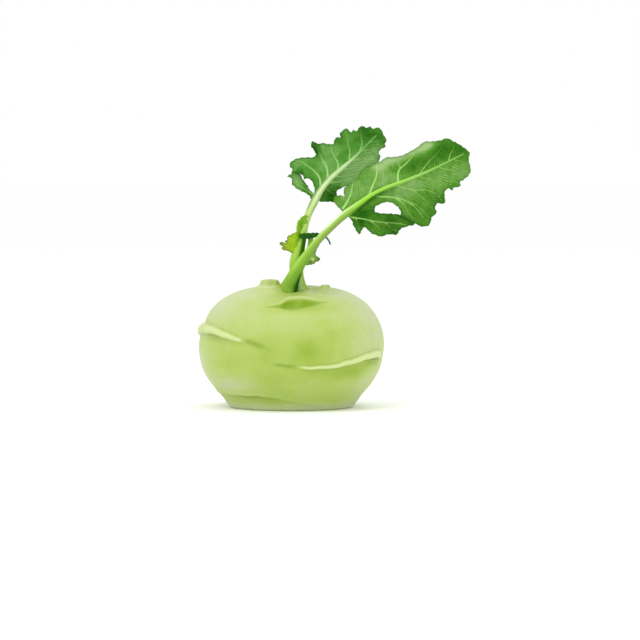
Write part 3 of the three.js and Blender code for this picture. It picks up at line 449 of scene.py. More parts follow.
class Shader:
    """A material's node tree, built call by call. Wherever a call takes a value, that is a plain number, a
    socket or the name of one of the mesh's masks."""

    def __init__(self, name):
        self.material = bpy.data.materials.new(name)
        self.material.use_nodes = True
        self.tree = self.material.node_tree
        self.tree.nodes.clear()
        self.where = self.node("TexCoord").outputs["Object"]

    def node(self, kind, inputs=(), **settings):
        """A new node with these settings, and with its inputs filled or linked."""
        node = self.tree.nodes.new("ShaderNode" + kind)
        for key, setting in settings.items():
            setattr(node, key, setting)
        for key, value in dict(inputs).items():
            if isinstance(value, str):
                value = self.node("Attribute", attribute_name=value).outputs["Fac"]
            if isinstance(value, bpy.types.NodeSocket):
                self.tree.links.new(value, node.inputs[key])
            else:
                node.inputs[key].default_value = value
        return node

    def texture(self, kind, size, stretch=(1, 1, 1), inputs=(), **settings):
        """A texture whose features are about size millimetres across."""
        scale = [s / (size * MM) for s in stretch]
        place = self.node("Mapping", {"Vector": self.where, "Scale": scale}).outputs[0]
        return self.node(kind, {"Vector": place, "Scale": 1.0, **dict(inputs)}, **settings)

    def noise(self, size, detail=3.0, roughness=0.55, stretch=(1, 1, 1)):
        inputs = {"Detail": detail, "Roughness": roughness}
        return self.texture("TexNoise", size, stretch, inputs).outputs["Fac"]

    def cells(self, size, feature="DISTANCE_TO_EDGE"):
        return self.texture("TexVoronoi", size, feature=feature).outputs["Distance"]

    def math(self, operation, *values):
        return self.node("Math", enumerate(values), operation=operation).outputs[0]

    def add(self, a, b):
        return self.math("ADD", a, b)

    def times(self, a, b):
        return self.math("MULTIPLY", a, b)

    def centred(self, noise, amount):
        """Noise from 0 to 1, brought to a range of this amount with 0 in its middle."""
        return self.math("MULTIPLY_ADD", noise, amount, -amount / 2)

    def span(self, value, low, high, to_low=0.0, to_high=1.0):
        """value from low to high, brought to to_low to to_high with soft ends."""
        ends = {"Value": value, "From Min": low, "From Max": high, "To Min": to_low, "To Max": to_high}
        return self.node("MapRange", ends, interpolation_type="SMOOTHSTEP").outputs[0]

    def ramp(self, value, *stops):
        node = self.node("ValToRGB", {0: value})
        elements = node.color_ramp.elements
        while len(elements) < len(stops):
            elements.new(0.5)
        for element, (position, colour) in zip(elements, stops):
            element.position = position
            element.color = linear(colour)
        return node.outputs[0]

    def layers(self, colour, *layers):
        """A colour with others laid over it in turn, given as shares and colours of 0-255 or sockets."""
        for share, over in layers:
            over = linear(over) if isinstance(over, tuple) else over
            colour = self.node("Mix", {0: share, 6: colour, 7: over}, data_type="RGBA").outputs[2]
        return colour

    def bump(self, height, millimetres, strength=0.5):
        ends = {"Height": height, "Distance": millimetres * MM, "Strength": strength}
        return self.node("Bump", ends).outputs[0]

    def surface(self, colour, roughness, normal=None, translucent=0.0, glow=None, **values):
        """The closing shader. values are more of the Principled shader's own inputs."""
        bumps = {} if normal is None else {"Normal": normal}
        values = {key.replace("_", " "): value for key, value in values.items()}
        values.update({"Base Color": colour, "Roughness": roughness, **bumps})
        result = self.node("BsdfPrincipled", values)
        if translucent:
            through = self.node("BsdfTranslucent", {"Color": colour if glow is None else glow, **bumps})
            result = self.node("MixShader", {0: translucent, 1: result.outputs[0], 2: through.outputs[0]})
        self.node("OutputMaterial", {"Surface": result.outputs[0]})
        return self.material


def bulb_material():
    s = Shader("kohlrabi_skin")
    fibre = s.noise(1.6, 4.0, 0.6, stretch=(1.6, 1.6, 0.28))
    pores = s.span(s.cells(2.1, "F1"), 0.06, 0.16, 1.0, 0.0)
    bloom = s.add(s.add("bloom", s.centred(s.noise(24, 2.0), 0.5)), s.centred(s.noise(7, 4.0), 0.3))
    skin = s.ramp(bloom, (0.0, (160, 190, 62)), (0.35, (186, 209, 104)), (0.7, (202, 217, 144)),
                  (1.0, (209, 217, 176)))
    cork = s.ramp(s.noise(1.6, 5.0), (0.35, (136, 160, 44)), (0.65, (176, 200, 92)))
    root = s.ramp(s.noise(1.5, 5.0, 0.7, stretch=(1, 1, 0.4)), (0.3, (150, 122, 78)), (0.65, (214, 200, 152)))
    # Laid over the skin: painted shade in the creases; pale crests, with painted light at the foot, on the
    # lip and on the stubs' left sides; the cork of the cuts, with painted shade round the stalks' feet and on
    # the stubs' walls; and the scar's fresh green, with painted shade in its hollow.
    skin = s.layers(skin, (s.span(fibre, 0.35, 0.75, 0.0, 0.22), (168, 190, 92)), ("crease_shade", (114, 148, 0)),
                    ("crest", (221, 235, 164)), ("cut", cork), ("vivid", (132, 169, 0)), ("root", root),
                    (s.times(pores, 0.3), (214, 222, 160)))
    height = s.add(s.times(fibre, 0.5), s.times(s.noise(0.6), 0.25))
    normal = s.bump(s.add(height, s.times(pores, 0.35)), 0.09, 0.6)
    return s.surface(skin, s.span(s.noise(5), 0.3, 0.7, 0.4, 0.52), normal, Subsurface_Weight=0.12,
                     Subsurface_Scale=0.004, Subsurface_Radius=GREEN_DEPTHS, Specular_IOR_Level=0.17,
                     Sheen_Weight=0.05, Sheen_Roughness=0.45)


def blade_material(name, dark, mean, light, vein):
    s = Shader(name)
    mottle = s.noise(3.0, 4.0)
    wave = s.math("SINE", s.math("MULTIPLY_ADD", s.noise(4.0), 8.0, s.times("comb", TAU / 1.45)))
    strands = s.times(s.span(wave, 0.1, 1.0), s.span(s.noise(2.4, 2.0), 0.35, 0.65))
    gaps = s.times(s.span(wave, -0.3, -1.0), 0.32)
    net = s.span(s.cells(1.1), 0.0, 0.1, 1.0, 0.0)
    ribs = s.span("vein", 0.45, 1.2, 1.0, 0.0)
    green = s.ramp(s.add("tone", s.centred(mottle, 0.5)), (0.0, dark), (0.5, mean), (1.0, light))
    green = s.layers(green, (s.times(strands, "combed"), vein), (s.times(gaps, "combed"), dark),
                     (s.times(net, 0.18), mean), (s.times(ribs, "vein_pale"), vein),
                     (s.times("rim", 0.5), dark), ("shade", (26, 90, 0)))
    normal = s.bump(s.add(s.times(s.cells(1.1), 0.8), s.times(strands, 0.3)), 0.22)
    return s.surface(green, s.span(mottle, 0.3, 0.7, 0.42, 0.56), normal, BLADE_GLOW,
                     s.layers(green, (0.35, (150, 200, 40))), Specular_IOR_Level=0.04)


def stalk_material(name, along_colours, **masks):
    """along_colours runs from root to tip. The other colours are laid on by the masks of their names."""
    s = Shader(name)
    streak = s.centred(s.noise(1.3, 3.0, 0.6, stretch=(1.0, 1.0, 0.16)), 0.5)
    ridges = s.math("SINE", s.times("around", 17.0))
    green = s.ramp(s.add("along", s.centred(s.noise(6), 0.04)), *along_colours)
    green = s.layers(green, (s.span(ridges, -1.0, 1.0, 0.0, 0.08), (222, 244, 160)))
    for mask, colour in masks.items():
        spots = s.times(s.times(mask, s.math("SUBTRACT", 1.0, mask)), streak)
        green = s.layers(green, (s.math("MULTIPLY_ADD", spots, 1.6, mask), colour))
    normal = s.bump(s.add(s.times(ridges, 0.25), s.noise(0.9)), 0.12)
    return s.surface(green, 0.45, normal, Subsurface_Weight=0.06, Subsurface_Scale=0.002,
                     Subsurface_Radius=GREEN_DEPTHS, Specular_IOR_Level=0.04)


def flap_material(name, root, middle, tip, rim, translucent):
    s = Shader(name)
    outwards = s.times(s.add("away", s.centred(s.noise(1.8, 4.0), 3.0)), 0.125)
    ring = s.times(s.span("to_rim", 0.0, 1.1, 0.7, 0.0), s.span("away", 1.2, 3.0))
    net = s.span(s.cells(0.9), 0.0, 0.09, 1.0, 0.0)
    green = s.layers(s.ramp(outwards, (0.0, root), (0.35, middle), (1.0, tip)), (ring, rim),
                     (s.span("tone", 0.0, 1.0), (222, 246, 170)), (s.span("tone", 0.0, -1.0), (52, 100, 16)),
                     (s.times(net, 0.15), (190, 220, 110)))
    return s.surface(green, 0.5, s.bump(s.cells(0.9), 0.15), translucent, Specular_IOR_Level=0.08)


# ---- The swollen stem ----

def by_azimuth(stations, azimuth):
    """A rim's height, lift and half thickness at each azimuth. Past its ends the lift is 0."""
    line = smooth_line(stations, 400, space=1)
    turned = line[0, 0] + (azimuth - line[0, 0]) % 360
    height, out, half = (np.interp(turned, line[:, 0], column) for column in line.T[1:])
    return height, np.where(turned <= line[-1, 0], np.maximum(out, 0), 0.0), half


def lump(angle, height):
    """How far the body of the stem strays from round."""
    share = np.sin(np.pi * clamp01(height / CROWN_HEIGHT))
    return share * (0.35 * np.sin(2 * angle + 0.6) + 0.3 * np.sin(3 * angle - 1.1 + height * 0.05))


def rim_lift(rim, azimuth, height):
    """How far a rim lifts the skin, and the masks of its pale crest and of the painted shade in the creases
    beside it.
    """
    crest, out, half = by_azimuth(rim["stations"], azimuth)
    turn = np.radians(azimuth)
    wobble = 0.12 * np.sin(turn * 23) + 0.08 * np.sin(turn * 41 + 2)
    off = (height - crest - wobble) / half
    over_foot = off * half + half
    cord = np.maximum(1 - off ** 2, 0) ** 0.7
    kept = rim["step"] * np.where(off > 0, fade(0, rim["above"], off * half), cord)
    valley = 0.16 * bell(off - 1.3, 0.4) + 0.06 * bell(off + 1.35, 0.45)
    strength = smoothstep(0.1, 0.5, out)
    crest_mask = fade(0.3, 1.25, np.abs(off - 0.1)) * strength * rim["pale"]
    # The painted shade under the rim: a thin line at its foot and a broader shade lower down.
    below = bell(over_foot + 0.45, 0.6) + 0.3 * bell(over_foot + 1.6, 1.5)
    if "dark_at" in rim:
        middle, wide = rim["dark_at"]
        near = bell(turned_from(middle, azimuth), wide)
        below = below * (0.3 + 0.7 * near) + rim.get("pool", 0.4) * near * bell(over_foot + 2, 1.5)
    if "pale_from" in rim:
        crest_mask = crest_mask * (0.55 + 0.45 * smoothstep(*rim["pale_from"], turned_from(0, azimuth)))
    crease_shade_mask = (0.9 * below + 0.3 * bell(off - 1.4, 0.35) * rim["pale"]) * strength * rim["dark"]
    return out * ((1 - rim["step"]) * cord + kept - valley), crest_mask, crease_shade_mask


def near_line(line, azimuth, height, half):
    """How close each place of the skin is to a line on it: 1 on the line, and less towards its ends."""
    track = smooth_line(line, 60, space=2)
    best = np.full(azimuth.shape, 1e9)
    along = np.zeros(azimuth.shape)
    for share, (middle, level) in zip(np.linspace(0, 1, len(track)), track):
        away = (turned_from(middle, azimuth) * 0.75) ** 2 + (height - level) ** 2
        closer = away < best
        best[closer] = away[closer]
        along[closer] = share
    ends = smoothstep(0, 0.2, along) * fade(0.6, 1.0, along)
    return np.exp(-best / half ** 2) * (0.25 + 0.75 * ends)


def stub_lift(stub, x, y, z):
    """How far a cut stub raises the crown, with masks of its cut face, whose cork colour is also painted
    shade on its wall, and of its pale rind, with painted light on its left side.
    """
    (cx, cy), (a, b) = stub["at"], stub["half"]
    dx, dy = (x - cx) / a, (y - cy) / b
    turn = np.arctan2(dy, dx)
    away = np.sqrt(dx ** 2 + dy ** 2) * (1 + 0.05 * np.sin(3 * turn + 1) + 0.03 * np.sin(7 * turn))
    tall = np.maximum(stub["top"] + stub["slope"] * (y - cy) - z, 0)
    wall = fade(0.84, 1.22, away)
    skirt = stub["skirt"] * bell(np.maximum(away - 1, 0), stub["skirt_wide"])
    dish = 0.35 * fade(0.2, 0.8, away)
    # The cut's cork colour also covers the wall, where it is painted shade.
    face = fade(0.85, 1.15, away) * (0.8 + 0.2 * fade(0.7, 0.8, away))
    rind = 0.5 * bell(away - 0.86, 0.06) + 0.6 * bell(away - 1.22, 0.12)
    lit = stub["lit_side"] * smoothstep(0.1, -0.5, dx) * fade(1.0, 1.3, away)
    lift = tall * np.maximum(wall, skirt) - dish * wall
    return lift, face * (1 - lit) * stub["cork"], np.maximum(rind * stub["cork"], lit)


def front_scar(x, v, front):
    """The youngest scar, from each place's x and seen height: the masks of its fresh green, also painted
    shade in the hollow, and of its pale lip, also a painted highlight, the lip's lift and the hollow's depth."""
    line = smooth_line(YOUNG_SCAR, 200, space=1)
    top, bottom = (np.interp(x, line[:, 0], line[:, k]) for k in (1, 2))
    half = np.maximum((top - bottom) / 2, 0.3)
    across = (v - (top + bottom) / 2) / half
    within = front & (x > line[0, 0]) & (x < line[-1, 0])
    thick = smoothstep(0.2, 2.0, half)
    sunk = smoothstep(-1.2, 0.3, across) * fade(0.6, 1.05, across) * (0.2 + 0.8 * thick)
    green = smoothstep(-1.5, -0.2, across) * fade(0.75, 1.15, across) * (0.4 + 0.6 * thick)
    green = green * (1 - 0.32 * bell(x - 3.6, 1.8))
    lip = bell(v - top - 0.7, 0.8) * bell(x - 3.5, 10) * front
    return within * green, 0.6 * lip, LIP_OUT * lip, within * SCAR_DEEP * sunk


def unevenness(x, y, height):
    """Slow unevenness of the skin, a fifth of a millimetre deep."""
    broad = np.sin(x / 7.3 + 1.1) * np.sin(y / 8.1 - 0.4) * np.sin(height / 6.2 + 0.7)
    narrow = np.sin(x / 3.1 + y / 4.4) * np.sin(height / 2.9 + x / 6)
    return 0.14 * broad + 0.05 * narrow


def collar(x, y):
    """The crown's rise towards the stalks on it, and the masks of the painted shade round the stalks' feet
    and of the fresh green there.
    """
    rise = np.zeros_like(x)
    stalk_foot_shade = 0.9 * bell(np.hypot((x - 14) / 1.2, (y - 4) / 1.6), 8)
    fresh = 0.2 * stalk_foot_shade
    for stalk, most, left_most in ((RIGHT_STALK, 0.3, 1.7), (LEFT_STALK, 0.6, 0.6)):
        *foot, width = stalk[1]
        foot_x, foot_y, _ = leaned(*foot)
        far = np.hypot(x - foot_x, y - foot_y)
        to_left = smoothstep(0.3, 0.95, (foot_x - x) / np.maximum(far, 1e-6))
        away = np.maximum(far - width - 0.8, 0)
        rise = np.maximum(rise, (most + (left_most - most) * to_left) * bell(away, 2.6))
        stalk_foot_shade = np.maximum(stalk_foot_shade, bell(away, 3.4))
        fresh = np.maximum(fresh, 0.45 * bell(away, 1.8))
    return rise, stalk_foot_shade, fresh


def underside(r, angle):
    """The underside is flat where it rests, hollow further in, with the cut root standing in the hollow."""
    hollow = 0.9 * fade(ROOT_RADIUS, 20, r)
    root = -0.5 * fade(ROOT_RADIUS - 1.5, ROOT_RADIUS, r)
    crumb = 0.12 * np.sin(r * 2.6 + 2 * np.sin(angle * 3)) * fade(ROOT_RADIUS - 1, ROOT_RADIUS, r)
    ring = smoothstep(ROOT_RADIUS, 12, r) * fade(15, 22, r)
    furrows = 0.15 * np.sin(angle * 9 + r * 0.2) * ring
    return np.maximum(hollow + root + crumb + furrows, 0)


def bloom_of(azimuth, height):
    """The waxy bloom, with painted light: it is strongest on the shoulders and the flanks, where it is also a
    painted sheen, and at the very foot, as painted light against the floor's shade; it is weakest low on the
    front. Under the rims the skin is greener as painted shade.
    """
    flank = smoothstep(38, 85, np.abs(turned_from(0, azimuth)))
    value = 0.36 + 0.18 * smoothstep(36, 57, height) + 0.22 * flank + 0.6 * fade(1, 5.5, height)
    for middle, wide, level, tall, amount in BLOOM_AND_LIGHT_PATCHES:
        value += amount * bell(turned_from(middle, azimuth), wide) * bell(height - level, tall)
    for middle, wide, low, high, amount in BLOOM_AND_LIGHT_SHOULDERS:
        value += amount * bell(turned_from(middle, azimuth), wide) * smoothstep(low, high, height)
    return value


def tilt(y, height):
    """How far the crown's tilt raises a place. It lowers the front."""
    return CROWN_LEAN * y * (height / CROWN_HEIGHT) ** 3


def bulb_piece():
    under = np.linspace(0, FLAT_RADIUS, BASE_ROWS, endpoint=False)[1:]
    side = smooth_line(BULB_OUTLINE, BULB_ROWS, space=2)[:-1]
    rows = np.vstack([np.stack([under, 0 * under], axis=1), side])
    outward = -left_of(np.gradient(rows, axis=0))
    azimuth, radius = np.meshgrid(np.arange(BULB_COLUMNS) * 360 / BULB_COLUMNS, rows[:, 0])
    height = np.repeat(rows[:, 1:], BULB_COLUMNS, axis=1)
    angle = np.radians(azimuth)
    x, y = radius * np.sin(angle), -radius * np.cos(angle)
    base = height < 1e-6

    seen = seen_height(y, height + tilt(y, height))
    vivid, crest, lip, sunk = front_scar(x, seen, (y < -8) & (height > 45))
    # The pale band round the very foot is painted light, against the shade where the stem meets the floor.
    crest = np.maximum(crest, 0.5 * fade(0.3, 2.4, height) * ~base)
    crease_shade = np.zeros_like(radius)
    lift = lip - sunk + unevenness(x, y, height) * smoothstep(0, 3, height)
    for middle, level, wide, tall, out in SWELLINGS:
        lift += out * bell(turned_from(middle, azimuth), wide) * bell(height - level, tall) * ~base
    for rim in SCAR_RIMS:
        raised, pale, dark = rim_lift(rim, azimuth, height)
        lift += raised * (radius > 20) * smoothstep(0, 1.5, height)
        crest = np.maximum(crest, pale)
        crease_shade = np.maximum(crease_shade, dark * 0.8)
    for furrow in FURROWS:
        near = near_line(furrow["line"], azimuth, height, furrow["half"])
        lift -= furrow["deep"] * near
        # A furrow is also darkened with painted shade.
        crease_shade = np.maximum(crease_shade, near * furrow["deep"] * 1.3)

    r = radius + lump(angle, height) * smoothstep(0, 4, height) * smoothstep(10, 30, radius)
    r += outward[:, :1] * lift
    x, y = r * np.sin(angle), -r * np.cos(angle)
    z = height + outward[:, 1:] * lift + tilt(y, height)
    crown = (height > 50) & (radius < 32)
    # The painted shade round the stalks' feet is laid on with the cork colour of the cuts.
    rise, cut, fresh = (crown * part for part in collar(x, y))
    z += rise
    vivid = np.maximum(vivid, fresh)
    for stub in STUBS:
        raised, face, rind = (crown * part for part in stub_lift(stub, x, y, z))
        z += raised
        cut = np.maximum(cut, face)
        crest = np.maximum(crest, rind)
    z += base * underside(r, angle)
    root = base * fade(ROOT_RADIUS - 1, ROOT_RADIUS, r)

    points = np.vstack([[(0, 0, 0.5)], np.stack([x, y, z], axis=-1).reshape(-1, 3), [(0, 0, CROWN_HEIGHT)]])
    attributes = {key: spread(clamp01(mask), 0, 0)
                  for key, mask in dict(crest=crest, crease_shade=crease_shade, vivid=vivid, cut=cut).items()}
    attributes.update(bloom=spread(bloom_of(azimuth, height), 0.6, 0.7), root=spread(root, 1, 0))
    return make_object("bulb_skin", points, wrap_faces(*radius.shape), attributes, bulb_material())


# ---- Stalks ----

def stalk_mesh(stalk, count, sides, shape):
    """A stalk's skin. shape(run, along, angle, radius) gives its radius; angle is 0 at the front and grows
    towards its right or lower side."""
    centre, width, ahead = leaned_line(stalk, count)
    front = unit(np.array([0.0, -1.0, 0.0]) + ahead * ahead[:, 1:2])
    side = unit(np.cross(ahead, front))
    run = run_along(centre)[:, None]
    angle = np.linspace(-np.pi, np.pi, sides, endpoint=False)[None, :]
    radius = shape(run, run / run[-1], angle, width)
    points = (centre[:, None] + front[:, None] * (radius * np.cos(angle))[..., None]
              + side[:, None] * (radius * np.sin(angle))[..., None])
    body = np.vstack([centre[:1], points.reshape(-1, 3), centre[-1:] + ahead[-1:] * 0.3])
    return body, np.broadcast_arrays(run, run / run[-1], angle)


def stalk_piece(name, stalk, count, shape, masks, **colours):
    """masks gives lit, shaded, pale and foot from the run, the share along and the angle."""
    body, (run, along, angle) = stalk_mesh(stalk, count, STALK_SIDES, shape)
    attributes = {key: spread(clamp01(mask), 0, 0) for key, mask in masks(run, along, angle).items()}
    attributes.update(along=spread(along, 0, 1), around=spread(angle, 0, 0))
    material = stalk_material(name + "_skin", **colours)
    return make_object(name, body, wrap_faces(count, STALK_SIDES), attributes, material)


def right_stalk_piece():
    def shape(run, along, angle, radius):
        ribs = 0.03 * np.cos(5 * angle + 0.4) + 0.02 * np.cos(9 * angle + run * 0.05)
        channel = -0.07 * bell(angle + 1.0, 0.35) * fade(0.05, 0.3, along)
        left, right = 0.5 - 0.5 * np.sin(angle), 0.5 + 0.5 * np.sin(angle)
        root = np.maximum(run - 3, 0)
        flare = 1.85 * left * np.exp(-root / 3.6) + 1.1 * right * np.exp(-root / 2.6)
        return radius * (1 + fade(0.35, 0.8, along) * (ribs + channel)) + flare

    def masks(run, along, angle):
        side = np.sin(angle)
        upper, lower = smoothstep(-0.15, -0.7, side), smoothstep(0.0, 0.65, side)
        on_leaf = smoothstep(0.42, 0.5, along)
        # A painted shadow on the right side near the root, between this stalk and the back one.
        dark_from = 0.12 + 0.25 * smoothstep(5, 12, run)
        root_shadow = smoothstep(0, 0.6, side - dark_from) * fade(11, 17, run)
        lit = 0.1 + 0.45 * smoothstep(0.04, 0.16, along) + 0.25 * on_leaf
        first_half = on_leaf * fade(0.58, 0.7, along)
        shaded = 0.12 + 0.16 * smoothstep(0.25, 0.35, along) + 0.6 * first_half
        # Painted light on the left edge of the foot.
        lit_foot_edge = 0.8 * smoothstep(-0.5, -0.95, side) * fade(5, 10, run)
        return dict(
            lit=upper * lit * (1 - 0.8 * smoothstep(0.7, 0.85, along)),
            shaded=np.maximum(root_shadow, lower * shaded),
            # The pale streak along the upper left is a painted highlight.
            pale=smoothstep(-0.25, -0.85, side) * bell(along - 0.385, 0.075) * 0.95,
            foot=np.maximum(lit_foot_edge, 0.4 * (1 - root_shadow) * fade(3, 6, run)))

    return stalk_piece(
        "right_stalk_rib", RIGHT_STALK, 300, shape, masks,
        along_colours=[(0.0, (98, 148, 14)), (0.16, (142, 192, 58)), (0.38, (160, 194, 90)),
                       (0.54, (140, 216, 52)), (0.8, (156, 210, 102)), (1.0, (122, 186, 86))],
        lit=(186, 240, 96), shaded=(24, 88, 0), pale=(246, 254, 218), foot=(160, 194, 78))


def left_stalk_piece():
    def shape(run, along, angle, radius):
        ribs = 0.04 * np.cos(4 * angle + 1.0) + 0.02 * np.cos(9 * angle + run * 0.04)
        flare = 2.2 * np.exp(-np.maximum(run - 2.6, 0) / 2.0) * (0.8 + 0.3 * np.sin(angle))
        return radius * (1 + fade(0.35, 0.8, along) * ribs) + flare

    def masks(run, along, angle):
        side = np.sin(angle)
        left, right = smoothstep(-0.2, -0.75, side), smoothstep(0.2, 0.75, side)
        groove = smoothstep(0.18, 0.215, along) * fade(0.31, 0.34, along)
        # The pale middle of the upright part is a painted highlight.
        middle = smoothstep(0.44, 0.56, along) * fade(0.75, 0.95, along) * (1 - np.abs(side))
        strip = bell(side - 0.45, 0.25) * fade(8, 14, run)
        upright = smoothstep(0.4, 0.5, along) * fade(0.62, 0.8, along)
        return dict(
            lit=0.5 * bell(along - 0.22, 0.08) * left,
            shaded=smoothstep(0.05, 0.4, side) * groove,
            pale=np.maximum(0.6 * middle, 0.4 * strip),
            # Painted shade down both sides of the upright part, stronger on the left, laid on with the foot
            # colour.
            foot=(0.75 * left + 0.5 * right) * upright)

    return stalk_piece(
        "left_stalk_rib", LEFT_STALK, 280, shape, masks,
        along_colours=[(0.0, (150, 188, 64)), (0.2, (174, 212, 88)), (0.33, (172, 216, 84)),
                       (0.42, (209, 234, 135)), (0.62, (230, 255, 190)), (0.92, (104, 174, 74))],
        lit=(176, 224, 78), shaded=(62, 124, 0), pale=(232, 254, 198), foot=(124, 156, 88))


# ---- Blades ----

def nearest_of(points, others):
    """Distance of each point to the nearest of others, and which one that is."""
    away, which = np.zeros(len(points)), np.zeros(len(points), int)
    for start in range(0, len(points), AT_A_TIME):
        part = slice(start, start + AT_A_TIME)
        apart = np.linalg.norm(points[part, None] - others[None], axis=2)
        away[part], which[part] = apart.min(axis=1), apart.argmin(axis=1)
    return away, which


def to_line(points, line):
    """Distance of points to a line of stations, which stretch of it is nearest, and the share along that."""
    best = np.full(len(points), 1e9)
    stretch = np.zeros(len(points), int)
    share = np.zeros(len(points))
    for k, (a, b) in enumerate(zip(line[:-1], line[1:])):
        t = clamp01(((points - a) @ (b - a)) / max(float((b - a) @ (b - a)), 1e-9))
        away = np.linalg.norm(points - a - t[:, None] * (b - a), axis=1)
        closer = away < best
        best[closer], stretch[closer], share[closer] = away[closer], k, t[closer]
    return best, stretch, share


def inside_edge(points, edge):
    inside = np.zeros(len(points), bool)
    x, y = points[:, 0], points[:, 1]
    for (ax, ay), (bx, by) in zip(edge, np.roll(edge, -1, axis=0)):
        slope = (bx - ax) / (by - ay) if by != ay else 0.0
        inside ^= ((ay > y) != (by > y)) & (x < ax + (y - ay) * slope)
    return inside


def fine_edge(edge, step):
    """A blade's edge as a smooth line with small teeth of its own."""
    corners = np.asarray(edge, float)
    count = int(step_lengths([*corners, corners[0]]).sum() / step)
    line = smooth_line(corners, count, space=2, closed=True)[:-1]
    out = left_of(np.roll(line, -1, axis=0) - np.roll(line, 1, axis=0))
    run = np.arange(len(line)) * step
    nick = 0.12 * np.sin(run * 2.1) + 0.1 * np.sin(run * 3.7 + 1) + 0.06 * np.sin(run * 6.5)
    return line + out * nick[:, None]


def flat_mesh(rim, lines, cell):
    """Points and triangles that fill a rim and follow the lines inside it."""
    low, high = rim.min(axis=0), rim.max(axis=0)
    rows = np.arange(low[1] + 0.13, high[1], cell * 0.866)
    grid = np.array([(u + (k % 2) * cell / 2, v) for k, v in enumerate(rows)
                     for u in np.arange(low[0], high[0], cell)])
    grid = grid[inside_edge(grid, rim)]
    grid = grid[nearest_of(grid, rim)[0] > cell * 0.45]
    points = [*rim]
    constraints = [(i, (i + 1) % len(rim)) for i in range(len(rim))]
    for line in lines:
        inside = line[inside_edge(line, rim)]
        inside = inside[nearest_of(inside, rim)[0] > cell * 0.4]
        if len(inside) == 0:
            continue
        grid = grid[nearest_of(grid, inside)[0] > cell * 0.4]
        gaps = enumerate(step_lengths(inside), len(points))
        constraints += [(k, k + 1) for k, gap in gaps if gap < cell * 1.8]
        points += [*inside]
    made = delaunay_2d_cdt([Vector(p) for p in [*points, *grid]], constraints, [], 0, 1e-4)
    flat = np.array([tuple(p) for p in made[0]])
    triangles = np.array([face for face in made[2] if len(face) == 3])
    triangles = triangles[inside_edge(flat[triangles].mean(axis=1), rim)]
    a, b, c = (flat[triangles[:, k]] for k in range(3))
    turn = (b[:, 0] - a[:, 0]) * (c[:, 1] - a[:, 1]) - (b[:, 1] - a[:, 1]) * (c[:, 0] - a[:, 0])
    triangles[turn < 0] = triangles[turn < 0][:, ::-1]
    used, index = np.unique(triangles, return_inverse=True)
    return flat[used], index.reshape(-1, 3)


def by_midrib(flat, stalk):
    """For each point of a blade: the midrib's depth and radius beside it, its run, its distance and side."""
    line = smooth_line(stalk, 240)
    ahead = unit(np.gradient(line[:, :3], axis=0))
    away, nearest = nearest_of(flat, line[:, [0, 2]])
    ahead_x, ahead_v = ahead[nearest][:, [0, 2]].T
    x, v = (flat - line[nearest][:, [0, 2]]).T
    run = run_along(line[:, :3])[nearest] + (x * ahead_x + v * ahead_v)
    return line[nearest, 1], line[nearest, 3], run, away, v * ahead_x - x * ahead_v


def by_cut(flat, cut):
    """Where each point lies by the deep cut: how far along it, how far past it, and which way closes it."""
    line = np.asarray(cut["line"], float)
    away, k, share = to_line(flat, line)
    shut = left_of(np.diff(line, axis=0))[k] * -cut["past"]
    side = -np.sign(np.sum((flat - line[k]) * shut, axis=1))
    return run_along(line)[k] + share * step_lengths(line)[k], side * away, shut


def hang(flat, stalk, cut, form):
    """A blade is joined to its midrib, and its halves bend back from it. This gives each point's depth, where
    it is seen once the cut is drawn shut, its reach from the midrib, its side of it and its run along it."""
    depth, radius, run, away, across = by_midrib(flat, stalk)
    reach = np.sqrt(away ** 2 + 16) - 4
    bend = np.where(across > 0, form["bend_upper"], form["bend_lower"])
    phase = np.where(across > 0, 0.6, 2.4)
    ripple = form["wave"] * (reach / 20) ** 1.2 * np.sin(TAU * run / form["wave_length"] + phase)
    ahead, past, closing = by_cut(flat, cut)
    drawn = (past > 0) * form["tuck"] * smoothstep(0, 9, ahead)
    over = (past > 0) * form["close"] * smoothstep(*cut["shuts"], ahead) * fade(0, 9, past)
    behind = (radius + CAD_BLADE_GAP) * smoothstep(radius * 0.6, radius + 5, away)
    return depth + behind + bend * reach + ripple + drawn, flat + closing * over[:, None], reach, across, run


def plate_piece(name, place, triangles, ridge_front, ridge_back, thick, masks, material):
    """A thin plate round its middle face. The ridges stand out of either side of it."""
    a, b, c = (place[triangles[:, k]] for k in range(3))
    facing = np.cross(b - a, c - a)
    normal = np.zeros_like(place)
    for k in range(3):
        np.add.at(normal, triangles[:, k], facing)
    normal = unit(normal)
    points = np.vstack([place + normal * (thick / 2 + ridge_front)[:, None],
                        place - normal * (thick / 2 + ridge_back)[:, None]])
    count = len(place)
    walls = {}
    for p, q in triangles[:, [0, 1, 1, 2, 2, 0]].reshape(-1, 2).tolist():
        if walls.pop((q, p), None) is None:
            walls[p, q] = (q, p, p + count, q + count)
    faces = [*triangles, *(triangles[:, [0, 2, 1]] + count), *walls.values()]
    return make_object(name, points, faces, {key: np.tile(mask, 2) for key, mask in masks.items()}, material)


def vein_field(flat, veins):
    """For each point: the distance to the nearest vein in half widths, and how pale that vein is there."""
    relative = np.full(len(flat), 8.0)
    pale = np.zeros(len(flat))
    for half, kept, line in veins:
        track = smooth_line(line, 40, space=2)
        away, stretch, share = to_line(flat, track)
        along = (stretch + share) / (len(track) - 1)
        apart = away / (half * 1.02 * (1 - 0.6 * along))
        closer = apart < relative
        relative = np.where(closer, apart, relative)
        pale = np.where(closer, (0.1 + 0.9 * half / 0.6) * (1 - (1 - kept) * along), pale)
    return relative, pale


